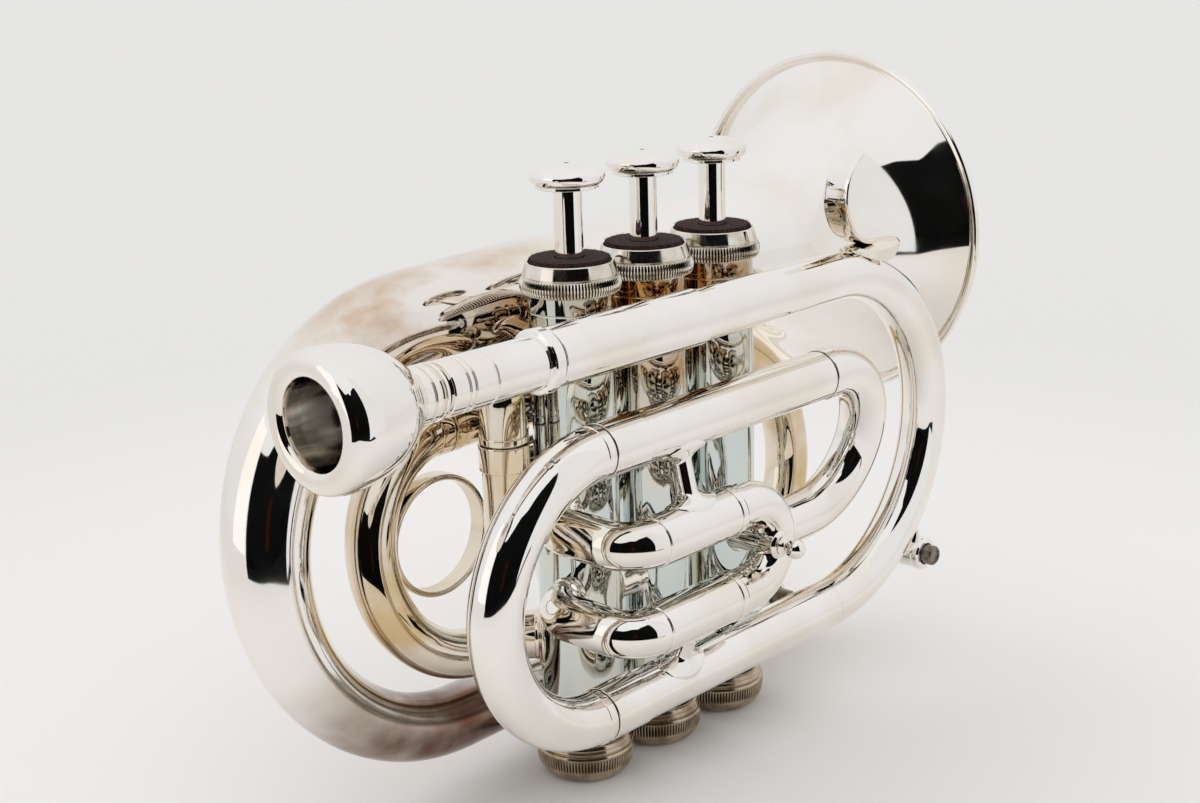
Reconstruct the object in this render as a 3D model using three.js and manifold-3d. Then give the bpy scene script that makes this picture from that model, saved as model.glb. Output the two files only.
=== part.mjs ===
// Pocket trumpet: three piston valves, coiled tubing and a bell, as separate pieces.
// Millimetres. +X points to the bell, +Y to the player's left, +Z up.
// The origin is the centre of the middle valve's bottom cap, on the surface it stands on.

import * as THREE from 'three';
import { mergeVertices } from 'three/addons/utils/BufferGeometryUtils.js';
import Module from 'manifold-3d';

const wasm = await Module();
wasm.setup();

// Fits and cutting tools
const seatGap = 0.3;
const overrun = 4;
const weldTolerance = 0.0001;
const roundSides = 18;
const pipeSides = 12;
const boreSides = 6;
const bowSides = 14;
const flareSides = 26;
const wideBend = 15;
const wideBendSteps = 5;
const tightBendSteps = 3;

// Valve casings
const valveSpacing = 23.8;
const casingRadius = 9.3;
const casingWall = 0.9;
const casingAboveLead = 7.6;
const portBore = 4.3;

// Bottom caps
const bottomCapRadius = 11.3;
const bottomCapHeight = 9.5;
const bottomCapFloor = 2.8;
const bottomCapFootRadius = 7.6;
const bottomCapDome = 3.2;
const knurlBand = 4;
const knurlDepth = 0.4;
const knurlTeeth = 18;

// Top caps and their felts
const topCapSkirt = 2.6;
const topCapFloor = 1.7;
const topCapRim = 2.2;
const topCapRimRadius = 9.9;
const topCapRimWall = 1.3;
const topCapKnurlRadius = 11;
const topCapKnurlBand = 3.6;
const feltHeight = 2.8;

// Pistons, springs and finger buttons
const pistonRadius = 8.05;
const pistonFoot = 24;
const pistonStroke = 14;
const pistonPort = 3.6;
const guideHeight = 2.2;
const stemRadius = 3.1;
const stopGap = 0.5;
const buttonRadius = 8.12;
const buttonHeight = 4.4;
const buttonCollarRadius = 5;
const buttonCollarHeight = 0.9;
const springRadius = 6.2;
const springWire = 0.8;
const springTurns = 6;
const springStepsPerTurn = 8;
const springWireSides = 4;

// Mouthpiece
const mouthpieceLength = 78;
const mouthpieceInsertion = 48.5;
const rimRadius = 13.4;
const biteRadius = 8.25;
const cupDepth = 12.5;
const cupBodyLength = 21.5;
const throatRadius = 1.85;
const shankRadius = 4.1;
const shankEndRadius = 3.7;
const mouthBeadRadius = 6.2;
const rimRidgeShare = 0.6;
const cupOutlineShares = [[0.93, 0.27], [0.86, 0.5], [0.75, 0.88]];
const cupBowlShares = [[0.45, 0.88], [0.85, 0.5]];
const throatDepthShare = 1.15;

// Receiver, leadpipe and large front bow
const leadY = -23.3;
const leadRise = 22.3;
const receiverMouth = -84;
const receiverLength = 28.4;
const receiverRadius = 5.5;
const receiverRing = 6.6;
const receiverBore = 4.5;
const sleeveLength = 44.4;
const sleeveRadius = 5.95;
const leadRadius = 5.7;
const frontBowStart = 38.2;

// Main tuning slide
const mainLowerRise = 9.6;
const mainUpperRise = 21.4;
const mainLowerY = -21.7;
const mainRadius = 5.75;
const mainWall = 0.65;
const mainCrookStart = -41.7;
const mainCollar = 7.6;
const mainEngagement = 32;
const collarProud = 0.2;

// Small front bow into the third valve
const smallBowFerrule = 33.3;
const smallBowStart = 37.3;
const smallBowY = -15.7;
const smallBowDrop = 36.7;

// First valve slide, beside the casings
const firstY = -28;
const firstLowerRise = 17.8;
const firstSlideSpacing = 19.6;
const firstRadius = 5.15;
const firstSleeveRadius = 5.5;
const firstSleeveLength = 25;
const firstSleeveFront = -6;
const firstCrookStart = -0.6;
const firstElbowRear = -37.6;
const firstElbowBend = 7;
const firstPortY = -4;
const firstEngagement = 22;
const firstBossRadius = 3.2;
const firstBossProud = 0.8;
const firstBossInset = 1.5;
const firstKnobReach = 5.9;
const firstKnobRadius = 2.3;

// Second valve slide, on the far side
const secondTailGap = 1.1;
const secondSlideGap = 0.6;
const secondRadius = 4.8;
const secondSleeveLength = 11;
const secondEngagement = 10.5;

// Third valve slide, upright behind the first valve
const thirdRadius = 4.9;
const thirdFeedY = 15.4;
const thirdFeedDrop = 11;
const thirdFeedGap = 2.6;
const thirdFeedBend = 6;
const thirdUpperTurnX = -30.2;
const thirdLowerTurnX = -28.4;
const thirdNearX = -44.5;
const thirdNearY = 1;
const thirdFarX = -36.5;
const thirdFarY = 9.3;
const thirdSleeveRadius = 5.5;
const thirdSleeveRise = 11.5;
const thirdSleeveLength = 5.6;
const thirdCrookRise = 9;
const thirdEngagement = 9.5;

// Fixed loop from the first valve, its finger ring, and the far front bow
const loopRadius = 5.45;
const loopLowerY = 11;
const loopLowerRise = 7.4;
const loopUpperY = 21.3;
const loopUpperDrop = 2.4;
const loopStart = -44.5;
const farBowStart = 43.7;
const farBowRadius = 5.7;
const fingerRingRadius = 13.75;
const fingerRingWall = 1.3;
const fingerRingWidth = 4.6;
const fingerRingRise = 2.1;
const fingerRingY = 18.6;

// Bell
const bellY = 27.7;
const bellRise = 22.1;
const bellMouth = 109.2;
const bellRimRadius = 47.05;
const bellThroat = 12.6;
const bellTaperShare = 0.03;
const bellFlareLength = 22;
const bellWall = 0.8;
const bellBead = 1.1;
const bellBeadSweepShare = 0.7;
const bellStationShares = [0, 0.42, 0.63, 0.76, 0.85, 0.91, 0.96, 1];
const bellBowStart = -47.4;
const bellTailY = 17;
const bellTailHeight = 16;
const bellTailRadius = 6.2;
const bellTailEndRadius = 7.45;
const bellWidenPowerShare = 1.8;

// Water keys, braces and little-finger hook
const waterKeyRadius = 4.2;
const waterKeyLength = 10;
const waterKeyBore = 2.9;
const waterKeyPlunger = 2.5;
const waterKeyProud = 2.6;
const waterKeyTravel = 2;
const waterKeyStand = 2;
const braceRadius = 1.5;
const braceFootRadius = 3.6;
const braceFootHeight = 1;
const braceX = -16;
const bellBraceDrop = 4;
const linkRadius = 5;
const hookRadius = 10;
const hookWall = 1.2;
const hookWidth = 5.5;
const hookX = 46.5;
const hookReachShare = 0.42;
const hookSteps = 7;

// Heights that follow from the sizes above, stacked from the lowest tube upwards
const mainLowerHeight = bellTailHeight + mainLowerRise;
const firstLowerHeight = mainLowerHeight + firstLowerRise;
const firstUpperHeight = firstLowerHeight + firstSlideSpacing;
const mainUpperHeight = firstUpperHeight + mainUpperRise;
const leadHeight = mainUpperHeight + leadRise;
const smallBowHeight = mainUpperHeight - smallBowDrop;
const loopLowerHeight = mainLowerHeight + loopLowerRise;
const loopUpperHeight = mainUpperHeight - loopUpperDrop;
const bellHeight = loopUpperHeight + bellRise;
const thirdUpperFeedHeight = loopUpperHeight - thirdFeedDrop;
const thirdLowerFeedHeight = thirdUpperFeedHeight - thirdRadius * 2 - thirdFeedGap;
const thirdSleeveTop = thirdUpperFeedHeight + thirdSleeveRise;
const thirdCrookLeg = thirdSleeveTop + thirdCrookRise;
const secondSleeveRadius = secondRadius + mainWall;
const secondLowerHeight = bellTailHeight + bellTailEndRadius + secondSleeveRadius + secondTailGap;
const secondUpperHeight = secondLowerHeight + secondSleeveRadius * 2 + secondSlideGap;

// Heights and places in the valves and slides that follow from those
const casingFoot = bottomCapFloor + seatGap;
const casingTop = leadHeight + casingAboveLead;
const topCapFoot = casingTop - topCapSkirt;
const topCapFloorHeight = casingTop + seatGap;
const topCapRecess = topCapFloorHeight + topCapFloor;
const topCapTop = topCapRecess + topCapRim;
const feltFoot = topCapRecess + seatGap;
const feltTop = feltFoot + feltHeight;
const pistonLength = casingTop - pistonFoot;
const stemFoot = casingTop + seatGap;
const buttonFoot = feltTop + pistonStroke + stopGap;
const mouthpieceFront = receiverMouth - (mouthpieceLength - mouthpieceInsertion);
const receiverEnd = receiverMouth + receiverLength;
const sleeveStart = receiverEnd + seatGap;
const sleeveEnd = sleeveStart + sleeveLength;
const mainBore = mainRadius - mainWall;
const mainLeg = mainBore - seatGap;
const mainLegBore = mainLeg - mainWall;
const firstSleeveBore = firstSleeveRadius - mainWall;
const firstLeg = firstSleeveBore - seatGap;
const firstLegBore = firstLeg - mainWall;
const thirdSleeveBore = thirdSleeveRadius - mainWall;
const thirdLeg = thirdSleeveBore - seatGap;
const thirdLegBore = thirdLeg - mainWall;
const thirdNearLeg = [thirdNearX, thirdNearY];
const thirdFarLeg = [thirdFarX, thirdFarY];
const secondLeg = secondRadius - seatGap;
const secondLegBore = secondLeg - mainWall;
const secondSleeveStart = casingRadius + seatGap;
const secondSleeveEnd = secondSleeveStart + secondSleeveLength;

// A pipe's centre line: straight runs joined by round bends, sampled only where it bends.
class BentLine extends THREE.Curve {
  constructor(corners, bendRadii) {
    super();
    this.stations = [];
    this.directions = [];
    const points = corners.map((corner) => new THREE.Vector3(...corner));
    const first = points[1].clone().sub(points[0]).normalize();
    this.addStation(points[0], first);
    bendRadii.forEach((radius, index) => {
      this.addBend(points[index], points[index + 1], points[index + 2], radius);
    });
    const last = points.at(-1).clone().sub(points.at(-2)).normalize();
    this.addStation(points.at(-1), last);
  }

  addStation(point, direction) {
    const previous = this.stations.at(-1);
    if (previous && previous.distanceTo(point) < weldTolerance + weldTolerance) return;
    this.stations.push(point);
    this.directions.push(direction);
  }

  addBend(before, corner, after, radius) {
    const into = corner.clone().sub(before).normalize();
    const out = after.clone().sub(corner).normalize();
    const turn = into.angleTo(out);
    const axis = into.clone().cross(out).normalize();
    const setback = radius * Math.tan(turn / 2);
    const start = corner.clone().addScaledVector(into, -setback);
    const centre = start.clone().addScaledVector(axis.clone().cross(into), radius);
    const stepsPerQuarter = radius > wideBend ? wideBendSteps : tightBendSteps;
    const steps = Math.max(2, Math.round((stepsPerQuarter * turn) / (Math.PI / 2)));
    for (let step = 0; step <= steps; step += 1) {
      const angle = (turn * step) / steps;
      const arm = start.clone().sub(centre).applyAxisAngle(axis, angle);
      this.addStation(centre.clone().add(arm), into.clone().applyAxisAngle(axis, angle));
    }
  }

  get steps() {
    return this.stations.length - 1;
  }

  getPoint(share, target = new THREE.Vector3()) {
    const place = THREE.MathUtils.clamp(share, 0, 1) * this.steps;
    const index = Math.min(Math.floor(place + weldTolerance), this.steps - 1);
    return target.lerpVectors(this.stations[index], this.stations[index + 1], place - index);
  }

  getPointAt(share, target = new THREE.Vector3()) {
    return this.getPoint(share, target);
  }

  getTangentAt(share, target = new THREE.Vector3()) {
    return target.copy(this.directions[Math.round(share * this.steps)]);
  }

  getSpacedPoints() {
    return this.stations.map((station) => station.clone());
  }

  // The share of the whole length that lies before each station.
  lengthShares() {
    const reached = [0];
    for (let index = 1; index <= this.steps; index += 1) {
      reached.push(reached[index - 1] + this.stations[index].distanceTo(this.stations[index - 1]));
    }
    return reached.map((length) => length / reached.at(-1));
  }
}

// An upright helix from its foot to its top
class Coil extends THREE.Curve {
  constructor(radius, foot, top, turns) {
    super();
    Object.assign(this, { radius, foot, top, turns });
  }

  getPoint(share, target = new THREE.Vector3()) {
    const angle = 2 * Math.PI * this.turns * share;
    return target.set(
      this.radius * Math.cos(angle),
      this.radius * Math.sin(angle),
      THREE.MathUtils.lerp(this.foot, this.top, share),
    );
  }
}

// Solids for joining and cutting

function solidOf(geometry) {
  const bare = geometry.clone();
  bare.deleteAttribute('normal');
  bare.deleteAttribute('uv');
  const merged = mergeVertices(bare, weldTolerance);
  return new wasm.Manifold(new wasm.Mesh({
    numProp: 3,
    vertProperties: Float32Array.from(merged.attributes.position.array),
    triVerts: Uint32Array.from(merged.index.array),
  }));
}

function geometryOf(solid) {
  const mesh = solid.getMesh();
  const geometry = new THREE.BufferGeometry();
  geometry.setAttribute('position', new THREE.Float32BufferAttribute(mesh.vertProperties, 3));
  geometry.setIndex(Array.from(mesh.triVerts));
  geometry.computeVertexNormals();
  return geometry;
}

function joined(...geometries) {
  const [first, ...rest] = geometries.map(solidOf);
  return geometryOf(rest.reduce((sum, next) => sum.add(next), first));
}

function cut(body, ...tools) {
  const start = solidOf(body);
  return geometryOf(tools.map(solidOf).reduce((left, tool) => left.subtract(tool), start));
}

// Basic forms

// A profile of [radius, height] pairs turned about Z; it closes on itself or on the axis.
function revolved(profile, sides = roundSides) {
  const points = profile.map(([radius, height]) => new THREE.Vector2(radius, height));
  const onAxis = profile[0][0] === 0 && profile.at(-1)[0] === 0;
  if (!onAxis) points.push(points[0].clone());
  if (THREE.ShapeUtils.area(points) < 0) points.reverse();
  return new THREE.LatheGeometry(points, sides).rotateX(Math.PI / 2);
}

function ringPoints(radius, sides) {
  return Array.from({ length: sides }, (_, index) => {
    const angle = (2 * Math.PI * (index + 1 / 2)) / sides;
    return new THREE.Vector2(radius * Math.cos(angle), radius * Math.sin(angle));
  });
}

function pipeAlong(line, radius, sides = pipeSides) {
  const section = new THREE.Shape(ringPoints(radius, sides));
  return new THREE.ExtrudeGeometry(section, { steps: line.steps, extrudePath: line });
}

function boreAlong(line, radius) {
  return pipeAlong(line, radius, boreSides);
}

function straightPipe(from, to, radius, sides = pipeSides) {
  return pipeAlong(new BentLine([from, to], []), radius, sides);
}

// Turns a shape made along Z so that it stands on a point and looks along a direction.
function standing(geometry, foot, direction) {
  const up = new THREE.Vector3(0, 0, 1);
  const turn = new THREE.Quaternion().setFromUnitVectors(up, new THREE.Vector3(...direction).normalize());
  return geometry.applyQuaternion(turn).translate(...foot);
}

// A toothed ring of grip lines, extruded upwards.
function knurledRing(radius, foot, height) {
  const points = Array.from({ length: 2 * knurlTeeth }, (_, index) => {
    const angle = (Math.PI * index) / knurlTeeth;
    const reach = index % 2 === 0 ? radius : radius - knurlDepth;
    return new THREE.Vector2(reach * Math.cos(angle), reach * Math.sin(angle));
  });
  const ring = new THREE.ExtrudeGeometry(new THREE.Shape(points), { depth: height, bevelEnabled: false });
  return ring.translate(0, 0, foot);
}

// A pipe whose radius and bore follow a function of the share of its length.
function taperedPipe(line, radiusAt, wall, sides) {
  const frames = line.computeFrenetFrames(line.steps, false);
  const shares = line.lengthShares();
  const order = shares.map((_, index) => index);
  const rings = [
    ...order.map((index) => [index, radiusAt(shares[index])]),
    ...order.toReversed().map((index) => [index, radiusAt(shares[index]) - wall]),
  ];
  const positions = rings.flatMap(([index, radius]) => ringPoints(radius, sides).flatMap((spot) => (
    line.stations[index].clone()
      .addScaledVector(frames.normals[index], spot.x)
      .addScaledVector(frames.binormals[index], spot.y)
      .toArray()
  )));
  const faces = rings.flatMap((_, ring) => {
    const next = (ring + 1) % rings.length;
    return Array.from({ length: sides }, (_unused, side) => {
      const a = ring * sides + side;
      const b = ring * sides + ((side + 1) % sides);
      const c = next * sides + ((side + 1) % sides);
      const d = next * sides + side;
      return [a, b, c, a, c, d];
    }).flat();
  });
  const geometry = new THREE.BufferGeometry();
  geometry.setAttribute('position', new THREE.Float32BufferAttribute(positions, 3));
  geometry.setIndex(faces);
  geometry.computeVertexNormals();
  return geometry;
}

// Materials

const finishes = {
  silver: { color: 0xe9e4da, roughness: 0.1, metalness: 1 },
  warmSilver: { color: 0xdccfb4, roughness: 0.14, metalness: 1 },
  nickel: { color: 0xbdb5a6, roughness: 0.28, metalness: 1 },
  monel: { color: 0xa9a7a2, roughness: 0.3, metalness: 1 },
  steel: { color: 0x9a9894, roughness: 0.35, metalness: 1 },
  darkSteel: { color: 0x55514d, roughness: 0.4, metalness: 1 },
  felt: { color: 0x2a1613, roughness: 1, metalness: 0 },
};

function finish(name) {
  return new THREE.MeshStandardMaterial({ name, ...finishes[name] });
}

function piece(name, geometry, finishName, place = [0, 0, 0]) {
  const mesh = new THREE.Mesh(geometry, finish(finishName));
  mesh.name = name;
  mesh.position.set(...place);
  return mesh;
}

// Where each valve stands, and the room that pipes leave round the casings

const valvePlaces = [-valveSpacing, 0, valveSpacing];

function casingRoom() {
  const rooms = valvePlaces.map((x) => revolved([
    [0, casingFoot],
    [casingRadius + seatGap, casingFoot],
    [casingRadius + seatGap, casingTop],
    [0, casingTop],
  ]).translate(x, 0, 0));
  return joined(...rooms);
}

// The ports of each casing: where the air enters and leaves, as [direction, height, side shift].
const rearward = [-1, 0, 0];
const forward = [1, 0, 0];
const leftward = [0, 1, 0];
const rightward = [0, -1, 0];
const rearLeft = [-Math.SQRT1_2, Math.SQRT1_2, 0];
const linkOneHeight = (secondUpperHeight + firstLowerHeight) / 2 + seatGap;
const linkTwoHeight = (thirdLowerFeedHeight + smallBowHeight) / 2;

const casingPorts = [
  [
    [rearward, firstUpperHeight, firstPortY],
    [rearward, firstLowerHeight, firstPortY],
    [rearLeft, loopLowerHeight, 0],
    [forward, linkOneHeight, 0],
  ],
  [
    [rearward, linkOneHeight, 0],
    [forward, linkTwoHeight, 0],
    [leftward, secondUpperHeight, 0],
    [leftward, secondLowerHeight, 0],
  ],
  [
    [rearward, linkTwoHeight, 0],
    [rightward, smallBowHeight, 0],
    [leftward, thirdUpperFeedHeight, 0],
    [leftward, thirdLowerFeedHeight, 0],
  ],
];

function portDrill([direction, height, shift], reach, radius) {
  const end = [direction[0] * reach, direction[1] * reach + shift, height];
  return straightPipe([0, shift, height], end, radius, boreSides);
}

function valveCasing(index) {
  const inner = casingRadius - casingWall;
  const tube = revolved([
    [inner, casingFoot],
    [casingRadius, casingFoot],
    [casingRadius, casingTop],
    [inner, casingTop],
  ]);
  const drills = casingPorts[index].map((port) => portDrill(port, casingRadius + overrun, portBore));
  return cut(tube, ...drills);
}

// Two crossing passages: one open at rest, two that meet the valve's own slide when it is down.
function pistonPassages(index) {
  const [inlet, outlet, upper, lower] = casingPorts[index];
  const reach = pistonRadius + overrun;
  const end = ([direction, height], lift) => [
    direction[0] * reach,
    direction[1] * reach,
    height - pistonFoot + lift,
  ];
  const passage = (from, to, lift) => straightPipe(end(from, lift), end(to, lift), pistonPort, boreSides);
  return [
    passage(inlet, outlet, 0),
    passage(inlet, upper, pistonStroke),
    passage(lower, outlet, pistonStroke),
  ];
}

// The piston, with the narrower guide collar that centres it in the casing
function piston(index) {
  const guideRadius = pistonRadius - seatGap;
  const body = revolved([
    [0, 0],
    [pistonRadius, 0],
    [pistonRadius, pistonLength - guideHeight],
    [guideRadius, pistonLength - guideHeight],
    [guideRadius, pistonLength],
    [0, pistonLength],
  ]);
  return cut(body, ...pistonPassages(index));
}

function bottomCap() {
  const inner = casingRadius + seatGap;
  const plain = bottomCapRadius - knurlDepth;
  const body = revolved([
    [0, 0],
    [bottomCapFootRadius, 0],
    [(bottomCapFootRadius + plain) / 2 + knurlDepth, bottomCapDome / 4],
    [plain, bottomCapDome],
    [plain, bottomCapHeight],
    [inner, bottomCapHeight],
    [inner, bottomCapFloor],
    [0, bottomCapFloor],
  ]);
  const band = cut(
    knurledRing(bottomCapRadius, bottomCapDome, knurlBand),
    revolved([[0, 0], [inner, 0], [inner, bottomCapHeight], [0, bottomCapHeight]]),
  );
  return joined(body, band);
}

function topCap() {
  const inner = casingRadius + seatGap;
  const plain = topCapKnurlRadius - knurlDepth;
  const hole = stemRadius + seatGap;
  const recess = topCapRimRadius - topCapRimWall;
  const shoulder = topCapFoot + topCapKnurlBand;
  const body = revolved([
    [inner, topCapFoot],
    [plain, topCapFoot],
    [plain, shoulder],
    [topCapRimRadius + knurlDepth, shoulder + knurlDepth],
    [topCapRimRadius, topCapTop],
    [recess, topCapTop],
    [recess, topCapRecess],
    [hole, topCapRecess],
    [hole, topCapFloorHeight],
    [inner, topCapFloorHeight],
  ]);
  const band = cut(
    knurledRing(topCapKnurlRadius, topCapFoot, topCapKnurlBand),
    revolved([[0, 0], [inner, 0], [inner, topCapTop], [0, topCapTop]]),
  );
  return joined(body, band);
}

function capFelt() {
  const outer = topCapRimRadius - topCapRimWall - seatGap;
  const hole = stemRadius + seatGap;
  const crown = feltHeight / 5;
  return revolved([
    [hole, 0],
    [outer, 0],
    [outer, feltHeight - crown],
    [outer - crown, feltHeight],
    [hole, feltHeight],
  ], pipeSides);
}

function valveStem() {
  const height = buttonFoot - seatGap - stemFoot;
  return revolved([[0, 0], [stemRadius, 0], [stemRadius, height], [0, height]], pipeSides);
}

function fingerButton() {
  const edge = buttonHeight / 4;
  const top = buttonCollarHeight + buttonHeight;
  return revolved([
    [0, 0],
    [buttonCollarRadius, 0],
    [buttonCollarRadius, buttonCollarHeight],
    [buttonRadius - edge, buttonCollarHeight],
    [buttonRadius, buttonCollarHeight + edge],
    [buttonRadius, top - edge - edge],
    [buttonRadius - edge / 2, top - edge],
    [buttonRadius - edge - edge, top - edge / 4],
    [0, top],
  ]);
}

// An open coil; each turn has a few straight steps, and it stays clear of itself.
function valveSpring() {
  const foot = bottomCapFloor + seatGap + springWire / 2;
  const top = pistonFoot - seatGap - springWire / 2;
  const wire = new THREE.Shape(ringPoints(springWire / 2, springWireSides));
  return new THREE.ExtrudeGeometry(wire, {
    steps: springTurns * springStepsPerTurn,
    extrudePath: new Coil(springRadius, foot, top, springTurns),
  });
}

function valve(index) {
  const group = new THREE.Group();
  const tag = index + 1;
  group.position.x = valvePlaces[index];
  group.add(
    piece(`valve_casing_${tag}`, valveCasing(index), 'silver'),
    piece(`bottom_cap_${tag}`, bottomCap(), 'nickel'),
    piece(`top_cap_${tag}`, topCap(), 'nickel'),
    piece(`cap_felt_${tag}`, capFelt(), 'felt', [0, 0, feltFoot]),
    piece(`piston_${tag}`, piston(index), 'monel', [0, 0, pistonFoot]),
    piece(`valve_stem_${tag}`, valveStem(), 'silver', [0, 0, stemFoot]),
    piece(`finger_button_${tag}`, fingerButton(), 'silver', [0, 0, buttonFoot]),
    piece(`valve_spring_${tag}`, valveSpring(), 'steel'),
  );
  return group;
}

// Short pipes that carry the air from casing to casing
function casingLink(from, height, room) {
  const start = valvePlaces[from];
  const end = valvePlaces[from + 1];
  const inset = casingRadius - overrun / 2;
  const tube = straightPipe([start + inset, 0, height], [end - inset, 0, height], linkRadius);
  const bore = straightPipe([start, 0, height], [end, 0, height], portBore, boreSides);
  return cut(tube, bore, room);
}

// Mouthpiece: a deep cup, a narrow throat and a tapered shank, turned about the leadpipe's line
function mouthpiece() {
  const ridge = rimRadius - (rimRadius - biteRadius) * rimRidgeShare;
  const rimBack = cupBodyLength / 6;
  const neckStart = cupBodyLength + cupBodyLength / 20;
  const visible = mouthpieceLength - mouthpieceInsertion;
  const beadEnd = visible - mouthBeadRadius / 3;
  return revolved([
    [biteRadius, rimBack / 3],
    [ridge, 0],
    [ridge + (rimRadius - ridge) * rimRidgeShare, rimBack / 8],
    [rimRadius, rimBack / 2],
    ...cupOutlineShares.map(([radius, length]) => [rimRadius * radius, cupBodyLength * length]),
    [mouthBeadRadius - mouthBeadRadius / 10, cupBodyLength],
    [mouthBeadRadius, neckStart + seatGap],
    [mouthBeadRadius, beadEnd - seatGap],
    [shankRadius + seatGap, visible - seatGap],
    [shankRadius, visible + seatGap],
    [shankEndRadius, mouthpieceLength],
    [shankEndRadius - casingWall, mouthpieceLength],
    [throatRadius, cupDepth * throatDepthShare],
    ...cupBowlShares.map(([radius, depth]) => [biteRadius * radius, cupDepth * depth]),
  ]);
}

function mouthpieceReceiver() {
  const step = receiverLength / 3;
  const ring = receiverLength / 9;
  const groove = receiverRing - receiverRadius;
  return revolved([
    [receiverBore, 0],
    [receiverRadius - seatGap, 0],
    [receiverRadius, seatGap],
    [receiverRadius, step],
    [receiverRadius - seatGap, step + seatGap],
    [receiverRadius, receiverLength - ring],
    [receiverRing, receiverLength - ring + groove / 2],
    [receiverRing, receiverLength - groove / 2],
    [receiverRing - groove / 2, receiverLength],
    [receiverBore, receiverLength],
  ]);
}

function leadpipeSleeve() {
  const bevel = sleeveRadius - leadRadius;
  return revolved([
    [receiverBore, 0],
    [sleeveRadius - bevel, 0],
    [sleeveRadius, bevel],
    [sleeveRadius, sleeveLength - bevel],
    [sleeveRadius - bevel, sleeveLength],
    [receiverBore, sleeveLength],
  ]);
}

// The leadpipe runs on into the large front bow, which drops to the lower tube.
function frontBowRadius() {
  return Math.hypot(leadHeight - mainLowerHeight, leadY - mainLowerY) / 2;
}

function leadpipeLine() {
  const radius = frontBowRadius();
  return new BentLine([
    [sleeveEnd + seatGap, leadY, leadHeight],
    [frontBowStart + radius, leadY, leadHeight],
    [frontBowStart + radius, mainLowerY, mainLowerHeight],
    [frontBowStart + seatGap, mainLowerY, mainLowerHeight],
  ], [radius, radius]);
}

function leadpipe() {
  return cut(pipeAlong(leadpipeLine(), leadRadius), boreAlong(leadpipeLine(), leadRadius - mainWall));
}

// A straight outer tube of the main tuning slide, with a collar at its open end
function mainSleeve(y, height, front) {
  const collarEnd = mainCrookStart + mainCollar;
  const tube = straightPipe([mainCrookStart + seatGap, y, height], [front, y, height], mainRadius);
  const collar = straightPipe(
    [mainCrookStart + seatGap, y, height],
    [collarEnd, y, height],
    mainRadius + collarProud,
  );
  const bore = straightPipe(
    [mainCrookStart - overrun, y, height],
    [front + overrun, y, height],
    mainBore,
  );
  return cut(joined(tube, collar), bore);
}

// A slide's bow with the two inner legs that run into the fixed tubes.
function slideCrook(line, legs, radius, legRadius, boreRadius) {
  const outer = [
    pipeAlong(line, radius),
    ...legs.map(([from, to]) => straightPipe(from, to, legRadius)),
  ];
  const inner = [
    boreAlong(line, boreRadius),
    ...legs.map(([from, to]) => straightPipe(from, to, boreRadius, boreSides)),
  ];
  return cut(joined(...outer), joined(...inner));
}

function mainCrook() {
  const radius = Math.hypot(mainUpperHeight - mainLowerHeight, leadY - mainLowerY) / 2;
  const line = new BentLine([
    [mainCrookStart, leadY, mainUpperHeight],
    [mainCrookStart - radius, leadY, mainUpperHeight],
    [mainCrookStart - radius, mainLowerY, mainLowerHeight],
    [mainCrookStart, mainLowerY, mainLowerHeight],
  ], [radius, radius]);
  const inner = mainCrookStart + mainEngagement;
  const legs = [
    [[mainCrookStart - seatGap, leadY, mainUpperHeight], [inner, leadY, mainUpperHeight]],
    [[mainCrookStart - seatGap, mainLowerY, mainLowerHeight], [inner, mainLowerY, mainLowerHeight]],
  ];
  return slideCrook(line, legs, mainRadius, mainLeg, mainLegBore);
}

// The small front bow turns back and enters the third casing from the right.
function smallFrontBow(room) {
  const radius = Math.hypot(mainUpperHeight - smallBowHeight, leadY - smallBowY) / 2;
  const port = valvePlaces[2];
  const line = new BentLine([
    [smallBowFerrule + seatGap, leadY, mainUpperHeight],
    [smallBowStart + radius, leadY, mainUpperHeight],
    [smallBowStart + radius, smallBowY, smallBowHeight],
    [port, smallBowY, smallBowHeight],
    [port, 0, smallBowHeight],
  ], [radius, radius, leadRadius + seatGap]);
  const outer = pipeAlong(line, leadRadius);
  const ferrule = straightPipe(
    [smallBowFerrule + seatGap, leadY, mainUpperHeight],
    [smallBowStart, leadY, mainUpperHeight],
    leadRadius + collarProud,
  );
  return cut(joined(outer, ferrule), boreAlong(line, mainLegBore), room);
}

// Each outer tube of the first slide wraps round to the back of the first casing.
function firstSlideTube(height, room) {
  const rear = firstElbowRear;
  const line = new BentLine([
    [firstSleeveFront, firstY, height],
    [rear, firstY, height],
    [rear, firstPortY, height],
    [valvePlaces[0], firstPortY, height],
  ], [firstElbowBend, firstElbowBend]);
  const sleeve = straightPipe(
    [firstSleeveFront, firstY, height],
    [firstSleeveFront - firstSleeveLength, firstY, height],
    firstSleeveRadius,
  );
  const slideBore = straightPipe(
    [firstSleeveFront + overrun, firstY, height],
    [firstSleeveFront - firstEngagement - seatGap, firstY, height],
    firstSleeveBore,
  );
  const outer = joined(pipeAlong(line, firstRadius), sleeve);
  return cut(outer, slideBore, boreAlong(line, firstLegBore), room);
}

// The boss for the pull knob sits on the inner side of the bow.
function firstBossPlace() {
  const radius = (firstUpperHeight - firstLowerHeight) / 2;
  return firstCrookStart + radius - firstRadius + firstBossInset;
}

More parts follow.
